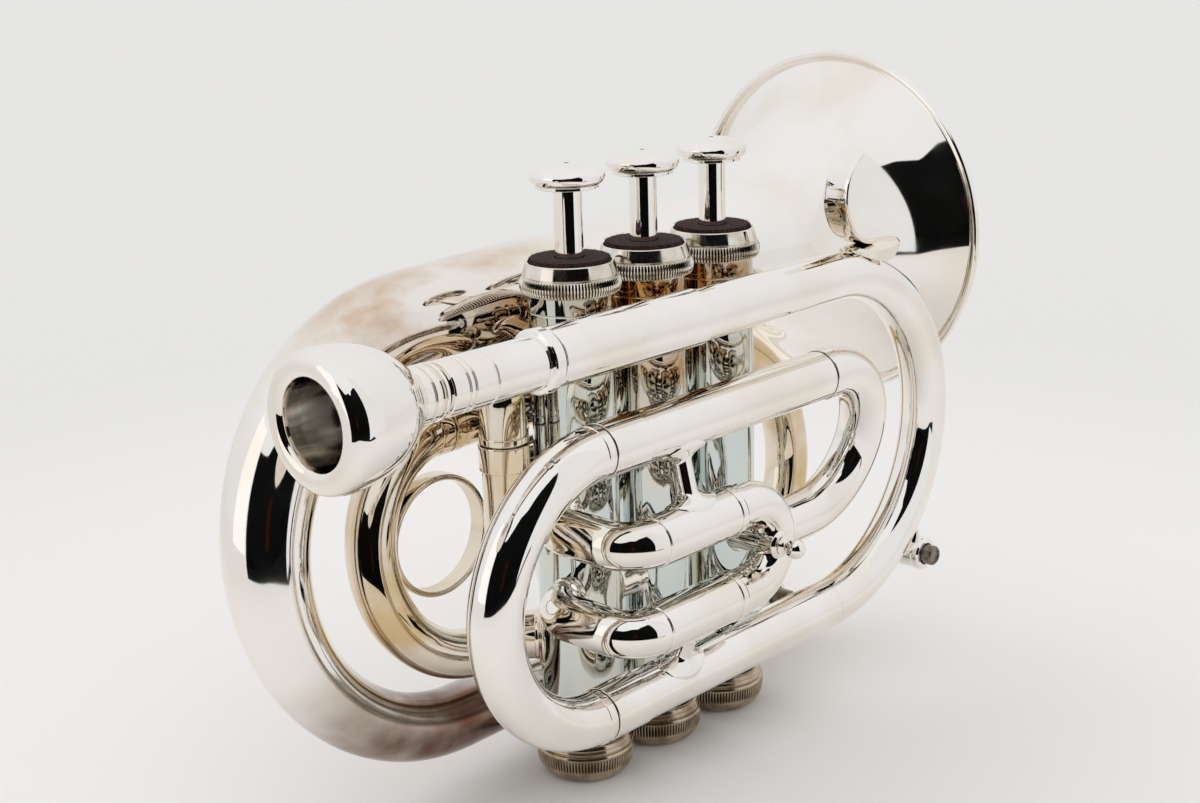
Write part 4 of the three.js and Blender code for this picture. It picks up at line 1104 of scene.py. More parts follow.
    def pieces(self) -> list[Piece]:
        """The valve's pieces."""
        tag = self.number
        return [
            Piece(f"casing_{tag}", [self.casing()], CASING, (f"valve_casing_{tag}",)),
            Piece(f"base_cap_{tag}", [self.bottom_cap()], NICKEL, (f"bottom_cap_{tag}",), Slot.NICKEL),
            Piece(f"crown_cap_{tag}", [self.top_cap()], CROWN, (f"top_cap_{tag}",), Slot.NICKEL),
            Piece(f"felt_{tag}", [self.felt(), *self.fibre_skins()], FELT, (f"cap_felt_{tag}",),
                  Slot.FELT),
            Piece(f"stem_{tag}", [self.stem()], BRIGHT, (f"valve_stem_{tag}",), body=self.moving),
            Piece(f"button_{tag}", [self.button()], BRIGHT, (f"finger_button_{tag}",), body=self.moving),
        ]


@dataclass
class Mouthpiece(Assembly):
    """The mouthpiece: rim, cup, beaded neck and tapered shank, turned about the leadpipe's line."""

    bite: float = 8.25
    widest: float = 13.3

    def outline(self) -> np.ndarray:
        """The outline from the rim's crest over the outside and back up the bore.

        Returns:
            Pairs of radius and distance behind the rim.
        """
        outside = flowing([
            [10.4, 0.0], [11.5, 0.22], [12.35, 0.85], [12.9, 1.75], [13.2, 2.9], [self.widest, 4.2],
            [13.25, 6.0], [13.05, 8.2], [12.65, 10.6], [12.0, 13.0], [11.0, 15.4], [9.6, 17.7], [8.0, 19.8],
            [6.7, 21.4], [5.75, 22.6],
        ], 6)
        bead = rounded([
            [5.75, 22.6], [5.65, 22.8], [5.65, 24.55], [5.2, 24.65], [5.2, 25.0], [5.65, 25.1],
            [5.65, 26.25], [5.0, 26.4], [5.0, 27.35], [5.65, 27.5], [5.6, 28.3], [4.4, 28.6], [4.2, 29.4],
        ], 0.12, 3)[4:-4]
        shank = [[4.2, 29.6], [4.1, 31.0], [3.7, 77.8], [3.6, 78.0], [2.9, 78.0], [2.8, 77.8]]
        bowl = flowing([
            [1.85, 17.0], [1.85, 15.6], [2.2, 14.2], [3.2, 12.9], [4.7, 11.6], [6.2, 9.8], [7.3, 7.5],
            [7.95, 4.9], [8.15, 3.0], [self.bite, 1.7], [8.6, 0.7], [9.4, 0.15], [10.4, 0.0],
        ], 6)[:-1]
        return np.vstack([outside, bead, shank, bowl])

    def pieces(self) -> list[Piece]:
        """The mouthpiece is one turned piece."""
        foot = [low("mouthpiece")[0], LAYOUT.lead_y, LAYOUT.lead_z]
        turned = lathe(self.outline(), foot, FORWARD, 160)
        return [Piece("turned_mouthpiece", [turned], MOUTH, ("mouthpiece",), body=Body.MOUTHPIECE)]


@dataclass
class Leadpipe(Assembly):
    """Receiver, sleeve, and the leadpipe that runs on into the large front bow, with its hook."""

    radius: float = 5.7
    bore: float = 5.05
    sleeve_radius: float = 6.15
    bow_start: float = 38.2
    hook_radius: float = 11.6
    hook_wall: float = 1.2
    hook_width: float = 6.2
    hook_ahead: float = 3.0
    hook_rise: float = 0.5
    hook_sweep: tuple[float, float] = (-92.0, 72.0)
    hook_steps: int = 61
    hook_foot: float = 5.2

    def on_line(self, node: str) -> list[float]:
        """Where a turned piece of the leadpipe starts."""
        return [low(node)[0], LAYOUT.lead_y, LAYOUT.lead_z]

    def receiver(self) -> Skin:
        """The mouthpiece receiver: a slim tube with fine grooves and a heavy ring at its end."""
        profile = rounded([
            [4.5, 0.0], [5.3, 0.0], [5.5, 0.3], [5.5, 3.55], [5.15, 3.65], [5.15, 4.05], [5.5, 4.15],
            [5.5, 4.95], [5.15, 5.05], [5.15, 5.5], [5.5, 5.6], [5.5, 10.7], [5.2, 10.8], [5.2, 11.2],
            [5.45, 11.3], [5.4, 24.9], [5.5, 25.1], [6.35, 25.3],
            [6.6, 25.6], [6.6, 27.7], [6.3, 28.2], [5.9, 28.4], [4.5, 28.4],
        ], 0.12, 3)
        return lathe(profile, self.on_line("mouthpiece_receiver"), FORWARD)

    def sleeve(self) -> Skin:
        """The sleeve over the leadpipe, plain, with softened ends."""
        length, radius = high("leadpipe_sleeve")[0] - low("leadpipe_sleeve")[0], self.sleeve_radius
        profile = rounded([[4.5, 0.0], [radius, 0.0], [radius, length], [5.5, length], [4.5, length]], 0.2)
        return lathe(profile, self.on_line("leadpipe_sleeve"), FORWARD)

    def line(self) -> PipeLine:
        """The leadpipe and the bow."""
        bend = bend_between([LAYOUT.lead_y, LAYOUT.lead_z], [LAYOUT.lower_y, LAYOUT.lower_z])
        front = self.bow_start + bend
        return PipeLine([
            [low("leadpipe")[0], LAYOUT.lead_y, LAYOUT.lead_z],
            [front, LAYOUT.lead_y, LAYOUT.lead_z],
            [front, LAYOUT.lower_y, LAYOUT.lower_z],
            [self.bow_start + SEAT_GAP, LAYOUT.lower_y, LAYOUT.lower_z],
        ], [bend, bend])

    def hook(self) -> list[Skin]:
        """The little finger's hook: a flat strip bent into an open C, on an oval foot."""
        radius = self.hook_radius
        crest = LAYOUT.lead_z + self.radius + self.hook_rise
        ahead = low("pinky_hook")[0] + radius + self.hook_ahead
        origin = np.array([ahead, middle("pinky_hook")[1], crest + radius])
        angle = np.radians(np.linspace(*self.hook_sweep, self.hook_steps))[:, None]
        spoke = -np.cos(angle) * FORWARD + np.sin(angle) * UP
        along = np.sin(angle) * FORWARD + np.cos(angle) * UP
        last = self.hook_steps - 1.0
        tip = np.clip((last - np.arange(self.hook_steps)) / 3.0, 0.05, 1.0) ** 0.5
        width = self.hook_width * tip * (1.0 + 0.12 * np.cos(angle[:, 0]))
        middle_line = origin + spoke * (radius - self.hook_wall / 2.0)
        strip = swept(middle_line, along, np.broadcast_to(LEFT, spoke.shape), width, self.hook_wall)
        foot = origin - UP * (radius + self.hook_rise) + FORWARD * 2.5
        plate = saddle(foot, UP, FORWARD, self.hook_foot, 2.2, 0.8, self.radius, 1.9)
        return [strip, plate]

    def pieces(self) -> list[Piece]:
        """The leadpipe's pieces."""
        return [
            Piece("receiver", [self.receiver()], BRIGHT, ("mouthpiece_receiver",)),
            Piece("lead_sleeve", [self.sleeve()], BRIGHT, ("leadpipe_sleeve",)),
            Piece("lead_and_bow", [pipe(self.line(), self.radius, self.bore, 96)], BRIGHT, ("leadpipe",)),
            Piece("hook", self.hook(), HOOK, ("pinky_hook",)),
        ]


@dataclass
class MainSlide(Assembly):
    """The main tuning slide: two outer tubes, the crook with its inner legs, and the small bow."""

    radius: float = 5.75
    bore: float = 5.1
    leg: float = 4.85
    leg_bore: float = 4.2
    engagement: float = 32.0
    collar: float = 11.0
    small_bow_start: float = 37.3
    small_radius: float = 5.7
    small_lower: tuple[float, float] = (-15.7, 47.7)
    port_bend: float = 6.0
    ring_length: float = 2.0
    ferrule_length: float = 3.8

    def outer_tube(self, node: str, y: float, z: float) -> Skin:
        """A fixed outer tube with a collar at its open end."""
        start, length = low(node)[0], high(node)[0] - low(node)[0]
        return lathe(rounded([
            [self.bore, 0.0], [self.radius + 0.2, 0.0], [self.radius + 0.2, self.collar],
            [self.radius - 0.05, self.collar + 0.05], [self.radius, length], [self.bore, length],
        ], 0.15), [start, y, z], FORWARD)

    def crook(self) -> list[Skin]:
        """The crook, and the two legs that slide in the outer tubes."""
        upper, lower = [LAYOUT.lead_y, LAYOUT.upper_z], [LAYOUT.lower_y, LAYOUT.lower_z]
        bend = bend_between(upper, lower)
        start = low("main_slide_upper_tube")[0] - SEAT_GAP
        rear = start - bend
        line = PipeLine([[start, *upper], [rear, *upper], [rear, *lower], [start, *lower]], [bend, bend])
        legs = [
            PipeLine([[start - 1.0, *place], [start + self.engagement, *place]])
            for place in (upper, lower)
        ]
        bow = pipe(line, self.radius, self.leg_bore, 96)
        rings = [
            band([start - 2.2, *place], FORWARD, self.ring_length, self.radius + 0.14, self.leg_bore)
            for place in (upper, lower)
        ]
        return [bow, *rings, *(pipe(leg, self.leg, self.leg_bore, 64) for leg in legs)]

    def small_bow(self) -> list[Skin]:
        """The small front bow: out, down and back, then square into the third casing."""
        upper, lower = [LAYOUT.lead_y, LAYOUT.upper_z], list(self.small_lower)
        port, bend = middle("valve_casing_3")[0], bend_between(upper, lower)
        start, front = high("main_slide_upper_tube")[0] + SEAT_GAP, self.small_bow_start + bend
        line = PipeLine([
            [start, *upper], [front, *upper], [front, *lower], [port, *lower], [port, -PORT_REACH, lower[1]],
        ], [bend, bend, self.port_bend])
        ferrule = band([start, *upper], FORWARD, self.ferrule_length, self.small_radius + 0.25, self.leg_bore)
        collar = flared_collar([port, -COLLAR_REACH, lower[1]], RIGHT, self.small_radius)
        return [pipe(line, self.small_radius, self.leg_bore, 96), ferrule, collar]

    def pieces(self) -> list[Piece]:
        """The main slide's pieces."""
        upper, lower = "main_slide_upper_tube", "main_slide_lower_tube"
        upper_tube = self.outer_tube(upper, LAYOUT.lead_y, LAYOUT.upper_z)
        lower_tube = self.outer_tube(lower, LAYOUT.lower_y, LAYOUT.lower_z)
        return [
            Piece("upper_outer_tube", [upper_tube], BRIGHT, (upper,)),
            Piece("lower_outer_tube", [lower_tube], BRIGHT, (lower,)),
            Piece("tuning_crook", self.crook(), BRIGHT, ("main_tuning_crook",), body=Body.MAIN),
            Piece("small_bow", self.small_bow(), BRIGHT, ("small_front_bow",)),
        ]


@dataclass
class FirstSlide(Assembly):
    """The first valve's slide, beside the casings: two fixed tubes, a crook and its pull knob."""

    radius: float = 5.15
    sleeve_radius: float = 5.5
    sleeve_front: float = -6.0
    sleeve_length: float = 25.0
    slide_bore: float = 4.85
    leg: float = 4.6
    leg_bore: float = 3.95
    engagement: float = 22.0
    crook_start: float = -0.6
    elbow_rear: float = -37.6
    elbow_bend: float = 7.0
    port_y: float = -4.0
    collar_reach: float = 8.55
    lip_length: float = 1.7
    ring_length: float = 2.0
    knob_radius: float = 2.3

    def fixed_tube(self, height: float) -> list[Skin]:
        """One fixed tube, from its sleeve round the back into the first casing."""
        valve_x, y = middle("valve_casing_1")[0], LAYOUT.first_y
        line = PipeLine([
            [self.sleeve_front - self.sleeve_length + 0.6, y, height], [self.elbow_rear, y, height],
            [self.elbow_rear, self.port_y, height], [valve_x - PORT_REACH, self.port_y, height],
        ], [self.elbow_bend, self.elbow_bend])
        mouth = [self.sleeve_front, y, height]
        sleeve = band(mouth, -FORWARD, self.sleeve_length, self.sleeve_radius, self.slide_bore)
        lip = band(mouth, -FORWARD, self.lip_length, self.sleeve_radius + 0.25, self.slide_bore)
        collar = flared_collar([valve_x - self.collar_reach, self.port_y, height], -FORWARD, self.radius)
        return [pipe(line, self.radius, self.leg_bore, 80), sleeve, lip, collar]

    def boss_place(self) -> np.ndarray:
        """The middle of the knob's boss, on the inner side of the bow."""
        bend = (LAYOUT.first_upper_z - LAYOUT.first_lower_z) / 2.0
        height = (LAYOUT.first_upper_z + LAYOUT.first_lower_z) / 2.0
        return np.array([self.crook_start + bend - self.radius + 1.5, LAYOUT.first_y, height])

    def crook(self) -> list[Skin]:
        """The crook with its legs, and the domed boss that carries the knob."""
        start, y = self.sleeve_front + SEAT_GAP, LAYOUT.first_y
        upper, lower = LAYOUT.first_upper_z, LAYOUT.first_lower_z
        bend = (upper - lower) / 2.0
        front = self.crook_start + bend
        line = PipeLine([
            [start, y, upper], [front, y, upper], [front, y, lower], [start, y, lower],
        ], [bend, bend])
        leg_end = self.sleeve_front - self.engagement
        legs = [PipeLine([[start + 1.0, y, z], [leg_end, y, z]]) for z in (upper, lower)]
        rings = [
            band([start, y, z], FORWARD, self.ring_length, self.radius + 0.3, self.leg_bore)
            for z in (upper, lower)
        ]
        boss = lathe(rounded([
            [0.0, -8.0], [3.2, -8.0], [3.2, 5.0], [2.6, 5.75], [1.6, 5.95], [0.0, 5.95],
        ], 0.5), self.boss_place(), RIGHT, 64)
        return [pipe(line, self.radius, self.leg_bore, 80), boss, *rings,
                *(pipe(leg, self.leg, self.leg_bore, 64) for leg in legs)]

    def knob(self) -> Skin:
        """The pull knob: a washer, a waisted neck and a ball."""
        turn = np.linspace(math.radians(-58.0), math.pi / 2.0, 20)[:, None]
        reach = high("first_slide_knob")[1] - low("first_slide_knob")[1]
        ball = np.hstack([self.knob_radius * np.cos(turn), reach - self.knob_radius * (1.0 - np.sin(turn))])
        ball[-1, 0] = 0.0
        neck = [[0.0, 0.0], [2.3, 0.0], [2.3, 0.5], [1.6, 0.75], [1.15, 1.15], [1.1, 1.4]]
        foot = [self.boss_place()[0], high("first_slide_knob")[1], self.boss_place()[2]]
        return lathe(np.vstack([neck, ball]), foot, RIGHT, 64)

    def pieces(self) -> list[Piece]:
        """The first slide's pieces."""
        return [
            Piece("first_upper_tube", self.fixed_tube(LAYOUT.first_upper_z), BRIGHT,
                  ("first_slide_upper_tube",)),
            Piece("first_lower_tube", self.fixed_tube(LAYOUT.first_lower_z), BRIGHT,
                  ("first_slide_lower_tube",)),
            Piece("first_crook", self.crook(), BRIGHT, ("first_slide_crook",), body=Body.FIRST),
            Piece("first_knob", [self.knob()], BRIGHT, ("first_slide_knob",), body=Body.FIRST),
        ]


@dataclass
class SecondSlide(Assembly):
    """The second valve's slide: a short bow that points to the player's left."""

    radius: float = 4.8
    sleeve_radius: float = 5.45
    leg: float = 4.5
    leg_bore: float = 3.85
    engagement: float = 10.5
    tube_foot: float = 8.8
    lip_length: float = 1.8

    def fixed_tube(self, node: str) -> list[Skin]:
        """A short outer tube that stands on the casing."""
        height, end = middle(node)[2], high(node)[1]
        length, lip_start = end - self.tube_foot, end - self.lip_length
        tube = band([0.0, self.tube_foot, height], LEFT, length, self.sleeve_radius, self.radius)
        lip = band([0.0, lip_start, height], LEFT, self.lip_length, self.sleeve_radius + 0.22, self.radius)
        return [tube, lip, flared_collar([0.0, COLLAR_REACH, height], LEFT, self.sleeve_radius)]

    def crook(self) -> list[Skin]:
        """The bow with its two legs."""
        start = high("second_slide_upper_tube")[1] + SEAT_GAP
        upper, lower = middle("second_slide_upper_tube")[2], middle("second_slide_lower_tube")[2]
        bend = (upper - lower) / 2.0
        end = start + 2.0 * bend
        line = PipeLine([
            [0.0, start, upper], [0.0, end, upper], [0.0, end, lower], [0.0, start, lower],
        ], [bend, bend])
        leg_end = start - self.engagement
        legs = [PipeLine([[0.0, start + 1.0, z], [0.0, leg_end, z]]) for z in (upper, lower)]
        return [pipe(line, self.radius, self.leg_bore, 72),
                *(pipe(leg, self.leg, self.leg_bore, 64) for leg in legs)]

    def pieces(self) -> list[Piece]:
        """The second slide's pieces."""
        upper, lower = "second_slide_upper_tube", "second_slide_lower_tube"
        return [
            Piece("second_upper_tube", self.fixed_tube(upper), BRIGHT, (upper,)),
            Piece("second_lower_tube", self.fixed_tube(lower), BRIGHT, (lower,)),
            Piece("second_crook", self.crook(), BRIGHT, ("second_slide_crook",), body=Body.SECOND),
        ]


@dataclass
class ThirdSlide(Assembly):
    """The third valve's slide: two feed tubes along the far side and an upright bow behind the valves."""

    radius: float = 4.9
    sleeve_radius: float = 5.5
    sleeve_length: float = 5.6
    sleeve_top: float = 82.5
    bore: float = 4.2
    leg: float = 4.55
    leg_bore: float = 3.9
    engagement: float = 9.5
    crook_leg: float = 91.5
    feed_y: float = 15.4
    feed_bend: float = 6.0
    near: tuple[float, float] = (-44.5, 1.0)
    far: tuple[float, float] = (-36.5, 9.3)
    upper_turn: float = -30.2
    lower_turn: float = -28.4
    ring_length: float = 1.6

    def fixed_tube(self, node: str, turn_x: float, leg: tuple[float, float]) -> list[Skin]:
        """One feed tube: out of the third casing, back along the far side, and up into its sleeve."""
        port, height = middle("valve_casing_3")[0], low(node)[2] + self.radius
        line = PipeLine([
            [port, PORT_REACH, height], [port, self.feed_y, height], [turn_x, self.feed_y, height],
            [*leg, height], [*leg, self.sleeve_top - self.sleeve_length + 1.0],
        ], [self.feed_bend - 0.3, self.feed_bend, self.feed_bend - 0.3])
        sleeve = band([*leg, self.sleeve_top], -UP, self.sleeve_length, self.sleeve_radius, self.bore + 0.65)
        collar = flared_collar([port, COLLAR_REACH, height], LEFT, self.radius)
        return [pipe(line, self.radius, self.bore, 80), sleeve, collar]

    def crook(self) -> list[Skin]:
        """The upright bow with its two legs."""
        near, far = np.array(self.near), np.array(self.far)
        bend = float(np.linalg.norm(far - near)) / 2.0
        start, top = self.sleeve_top + SEAT_GAP, self.crook_leg + bend
        line = PipeLine([[*near, start], [*near, top], [*far, top], [*far, start]], [bend, bend])
        leg_end = self.sleeve_top - self.engagement
        legs = [PipeLine([[*place, start + 1.0], [*place, leg_end]]) for place in (near, far)]
        rings = [
            band([*place, start], UP, self.ring_length, self.radius + 0.3, self.leg_bore)
            for place in (near, far)
        ]
        return [pipe(line, self.radius, self.leg_bore, 80), *rings,
                *(pipe(leg, self.leg, self.leg_bore, 64) for leg in legs)]

    def pieces(self) -> list[Piece]:
        """The third slide's pieces."""
        upper, lower = "third_slide_upper_tube", "third_slide_lower_tube"
        return [
            Piece("third_upper_tube", self.fixed_tube(upper, self.upper_turn, self.far), HIDDEN, (upper,)),
            Piece("third_lower_tube", self.fixed_tube(lower, self.lower_turn, self.near), HIDDEN, (lower,)),
            Piece("third_crook", self.crook(), HIDDEN, ("third_slide_crook",), body=Body.THIRD),
        ]


@dataclass
class FixedLoop(Assembly):
    """The fixed loop: inner rear bow, far tube, far front bow and the finger ring."""

    radius: float = 5.45
    bore: float = 4.4
    start: float = -44.5
    lower: tuple[float, float] = (11.0, 33.0)
    far_radius: float = 5.7
    far_start: float = 43.7
    tail: tuple[float, float] = (17.0, 16.0)
    port_bend: float = 6.0
    port_reach: float = 8.3
    rear_ferrule: float = 3.6
    tube_ferrule: float = 3.2
    ring_radius: float = 13.75
    ring_wall: float = 1.3
    ring_width: float = 4.6

    def rear_bow(self) -> list[Skin]:
        """The inner rear bow, out of the first casing's back and up to the far tube."""
        valve_x, upper = middle("valve_casing_1")[0], [LAYOUT.loop_y, LAYOUT.loop_z]
        bend = bend_between(list(self.lower), upper)
        rear, depth = self.start - bend, self.lower[0]
        step = unit(np.array([-1.0, 1.0, 0.0]))
        casing = np.array([valve_x, 0.0, self.lower[1]])
        port = casing + step * self.port_reach
        line = PipeLine([
            port, [valve_x - depth, depth, self.lower[1]], [rear, depth, self.lower[1]],
            [rear, *upper], [self.start, *upper],
        ], [self.port_bend, bend, bend])
        ferrule_start = [self.start - self.rear_ferrule, *upper]
        ferrule = band(ferrule_start, FORWARD, self.rear_ferrule, self.radius + 0.3, self.bore)
        collar = flared_collar(casing + step * COLLAR_REACH, step, self.radius)
        return [pipe(line, self.radius, self.bore, 88), ferrule, collar]

    def far_tube(self) -> list[Skin]:
        """The straight far tube, with a ferrule at each end."""
        start, end = low("far_upper_tube")[0], high("far_upper_tube")[0]
        place = [LAYOUT.loop_y, LAYOUT.loop_z]
        tube = band([start, *place], FORWARD, end - start, self.radius, self.bore)
        rings = [
            band([x, *place], FORWARD, self.tube_ferrule, self.radius + 0.25, self.bore)
            for x in (start, end - self.tube_ferrule)
        ]
        return [tube, *rings]

    def front_bow(self) -> list[Skin]:
        """The far front bow, down to the bell's tail."""
        upper, lower = [LAYOUT.loop_y, LAYOUT.loop_z], list(self.tail)
        bend = bend_between(upper, lower)
        start, front = self.far_start, self.far_start + bend
        line = PipeLine([
            [start, *upper], [front, *upper], [front, *lower], [start, *lower],
        ], [bend, bend])
        return [pipe(line, self.far_radius, self.bore, 88)]

    def finger_ring(self) -> Skin:
        """The finger ring: a flat strip bent round, with softened edges."""
        centre = middle("finger_ring")
        half, inner = self.ring_width / 2.0, self.ring_radius - self.ring_wall
        profile = rounded([
            [inner, -half], [self.ring_radius, -half], [self.ring_radius, half], [inner, half],
        ], 0.5, 6)
        return lathe(profile, centre, LEFT, 128)

    def pieces(self) -> list[Piece]:
        """The fixed loop's pieces."""
        return [
            Piece("rear_bow", self.rear_bow(), REAR, ("inner_rear_bow",)),
            Piece("far_tube", self.far_tube(), REAR, ("far_upper_tube",)),
            Piece("far_bow", self.front_bow(), REAR, ("far_front_bow",)),
            Piece("ring", [self.finger_ring()], RING, ("finger_ring",), Slot.WARM),
        ]


@dataclass
class Bell(Assembly):
    """The bell in one sweep: a widening tail, the big rear bow, the throat and the flare."""

    tail_start: float = 43.4
    tail: tuple[float, float] = (17.0, 16.0)
    tail_radius: float = 6.2
    tail_end_radius: float = 7.45
    bow_start: float = -47.4
    throat: float = 12.6
    taper: float = 0.03
    widening: float = 1.8
    mouth: float = 109.2
    rim_radius: float = 47.05
    flare_length: float = 22.0
    bead: float = 1.1
    wall: float = 0.8
    ferrule_length: float = 4.4
    ferrule_bore: float = 5.0

    def flare(self, x: np.ndarray) -> np.ndarray:
        """The radius at x: a gentle cone, plus a part that grows by e in every flare length."""
        cone = self.throat + self.taper * (x - self.bow_start)
        cone_at_rim = self.throat + self.taper * (self.mouth - self.bow_start)
        opening = self.rim_radius - self.bead - cone_at_rim
        return cone + opening * np.exp((x - self.mouth) / self.flare_length)

    def skin(self) -> Skin:
        """The wall: outer rings from tail to rim, the rolled bead, and inner rings back."""
        mouth_line = [LAYOUT.bell_y, LAYOUT.bell_z]
        bend = bend_between(list(self.tail), mouth_line)
        rear = self.bow_start - bend
        bow = PipeLine([
            [self.tail_start, *self.tail], [rear, *self.tail], [rear, *mouth_line],
            [self.bow_start, *mouth_line],
        ], [bend, bend])
        tail_length = self.tail_start - self.bow_start
        along = bow.lengths()
        in_bow = np.clip((along - tail_length) / (along[-1] - tail_length), 0.0, 1.0)
        in_tail = np.clip(along / tail_length, 0.0, 1.0)
        outer = self.tail_radius + (self.tail_end_radius - self.tail_radius) * in_tail
        outer += (self.throat - self.tail_end_radius) * in_bow ** self.widening
        span = self.mouth - self.bead - self.bow_start
        x = self.bow_start + span * (1.0 - (1.0 - np.linspace(0.0, 1.0, 90)[1:]) ** 1.7)
        axis = np.stack([x, 0 * x + mouth_line[0], 0 * x + mouth_line[1]], 1)
        points = np.vstack([bow.points, axis])
        tangents = np.vstack([bow.tangents, np.broadcast_to(FORWARD, axis.shape)])
        radii = np.r_[outer, self.flare(x)]
        turn = np.radians(np.linspace(-150.0, 130.0, 26))
        bead_x = self.mouth - self.bead + self.bead * np.sin(turn)
        bead_points = np.stack([bead_x, 0 * bead_x + mouth_line[0], 0 * bead_x + mouth_line[1]], 1)
        bead_radii = self.rim_radius - self.bead + self.bead * np.cos(turn)
        return ringed(
            np.vstack([points[:-1], bead_points, points[-3::-1]]),
            np.vstack([tangents[:-1], np.broadcast_to(FORWARD, bead_points.shape), tangents[-3::-1]]),
            np.r_[radii[:-1], bead_radii, radii[-3::-1] - self.wall],
            176,
        )

    def pieces(self) -> list[Piece]:
        """The bell is one piece, with a ferrule where its tail meets the far bow."""
        start = [self.tail_start - self.ferrule_length, *self.tail]
        ferrule = band(start, FORWARD, self.ferrule_length, self.tail_radius + 0.35, self.ferrule_bore)
        return [Piece("bell_and_bow", [self.skin(), ferrule], BELL, ("bell", "bell_bow"), crease=60.0)]


@dataclass
class Braces(Assembly):
    """The posts that hold tubes to each other, the bell's stubs and the links between casings."""

    brace_x: float = -17.5
    post_radius: float = 2.1
    foot_radius: float = 4.5
    foot_reach: float = 2.6
    foot_length_share: float = 1.55
    lead_brace_y: float = -17.6
    stub_overlap: float = 1.6
    link_overlap: float = 0.4

    def post(
        self, start: Sequence[float], end: Sequence[float], start_tube: float, end_tube: float,
    ) -> list[Skin]:
        """A turned post between the surfaces of two tubes that run along X.

        Args:
            start, end: points on the lines of the two tubes.
            start_tube, end_tube: the radii of the two tubes.

        Returns:
            The post and its two feet.
        """
        way = unit(np.array(end, float) - np.array(start, float))
        first = np.array(start) + way * start_tube
        last = np.array(end) - way * end_tube
        length = float(np.linalg.norm(last - first))
        stem = lathe(rounded([
            [0.0, 0.2], [self.post_radius, 0.2], [self.post_radius, length - 0.2], [0.0, length - 0.2],
        ], 0.05), first, way, 48)
        reach = min(self.foot_reach, length / 2.0)
        return [stem, *(
            saddle(place, out, FORWARD, self.foot_radius, self.post_radius, reach, tube,
                   self.foot_length_share)
            for place, out, tube in ((first, way, start_tube), (last, -way, end_tube))
        )]

    def bell_stub(self, node: str) -> list[Skin]:
        """A short stub between a casing and the bell, with a collar on each."""
        centre = middle(node)
        start = np.array([centre[0], COLLAR_REACH, centre[2]])
        length = high(node)[1] - start[1] + self.stub_overlap
        profile = flowing([
            [4.4, -0.6], [4.3, 0.25], [3.2, 1.1], [2.9, length / 2.0], [3.2, length - 1.3],
            [4.4, length - 0.2], [4.5, length + 0.8],
        ], 8)
        return [lathe(np.vstack([[[0.0, -0.6]], profile, [[0.0, length + 0.8]]]), start, LEFT, 64)]

    def lead_brace(self, node: str) -> list[Skin]:
        """A waisted post from the leadpipe's sleeve to the middle casing."""
        profile = flowing([[3.9, 0.0], [2.5, 0.9], [1.9, 2.0], [1.9, 6.2], [2.5, 7.6], [3.9, 8.6]], 8)
        closed = np.vstack([[[0.0, 0.0]], profile, [[0.0, 8.6]]])
        return [lathe(closed, [0.0, self.lead_brace_y, middle(node)[2]], LEFT, 64)]

    def link(self, node: str) -> list[Skin]:
        """A casing link: a wide pipe that flares onto both casings."""
        centre, width = middle(node), high(node)[0] - low(node)[0]
        half = width / 2.0 + self.link_overlap
        profile = flowing([
            [6.2, -half], [5.35, 0.7 - half], [4.95, 1.5 - half], [4.9, 0.0], [4.95, half - 1.5],
            [5.35, half - 0.7], [6.2, half],
        ], 6)
        closed = np.vstack([profile, [[4.2, half], [4.2, -half]]])
        return [lathe(closed, centre, FORWARD, 72)]

    def pieces(self) -> list[Piece]:
        """The braces and links."""
        lay, x = LAYOUT, self.brace_x
        tubes = MainSlide.radius, FirstSlide.sleeve_radius
        upper = self.post([x, lay.lead_y, lay.upper_z], [x, lay.first_y, lay.first_upper_z], *tubes)
        lower = self.post([x, lay.lower_y, lay.lower_z], [x, lay.first_y, lay.first_lower_z], *tubes)
        named = {
            "post_slide_brace_upper": upper,
            "post_slide_brace_lower": lower,
            "post_leadpipe_brace": self.lead_brace("leadpipe_brace"),
            "stub_bell_brace_front": self.bell_stub("bell_brace_front"),
            "stub_bell_brace_rear": self.bell_stub("bell_brace_rear"),
            "pipe_casing_link_1": self.link("casing_link_1"),
            "pipe_casing_link_2": self.link("casing_link_2"),
        }
        return [Piece(name, skins, BRIGHT, (name.split("_", 1)[1],)) for name, skins in named.items()]


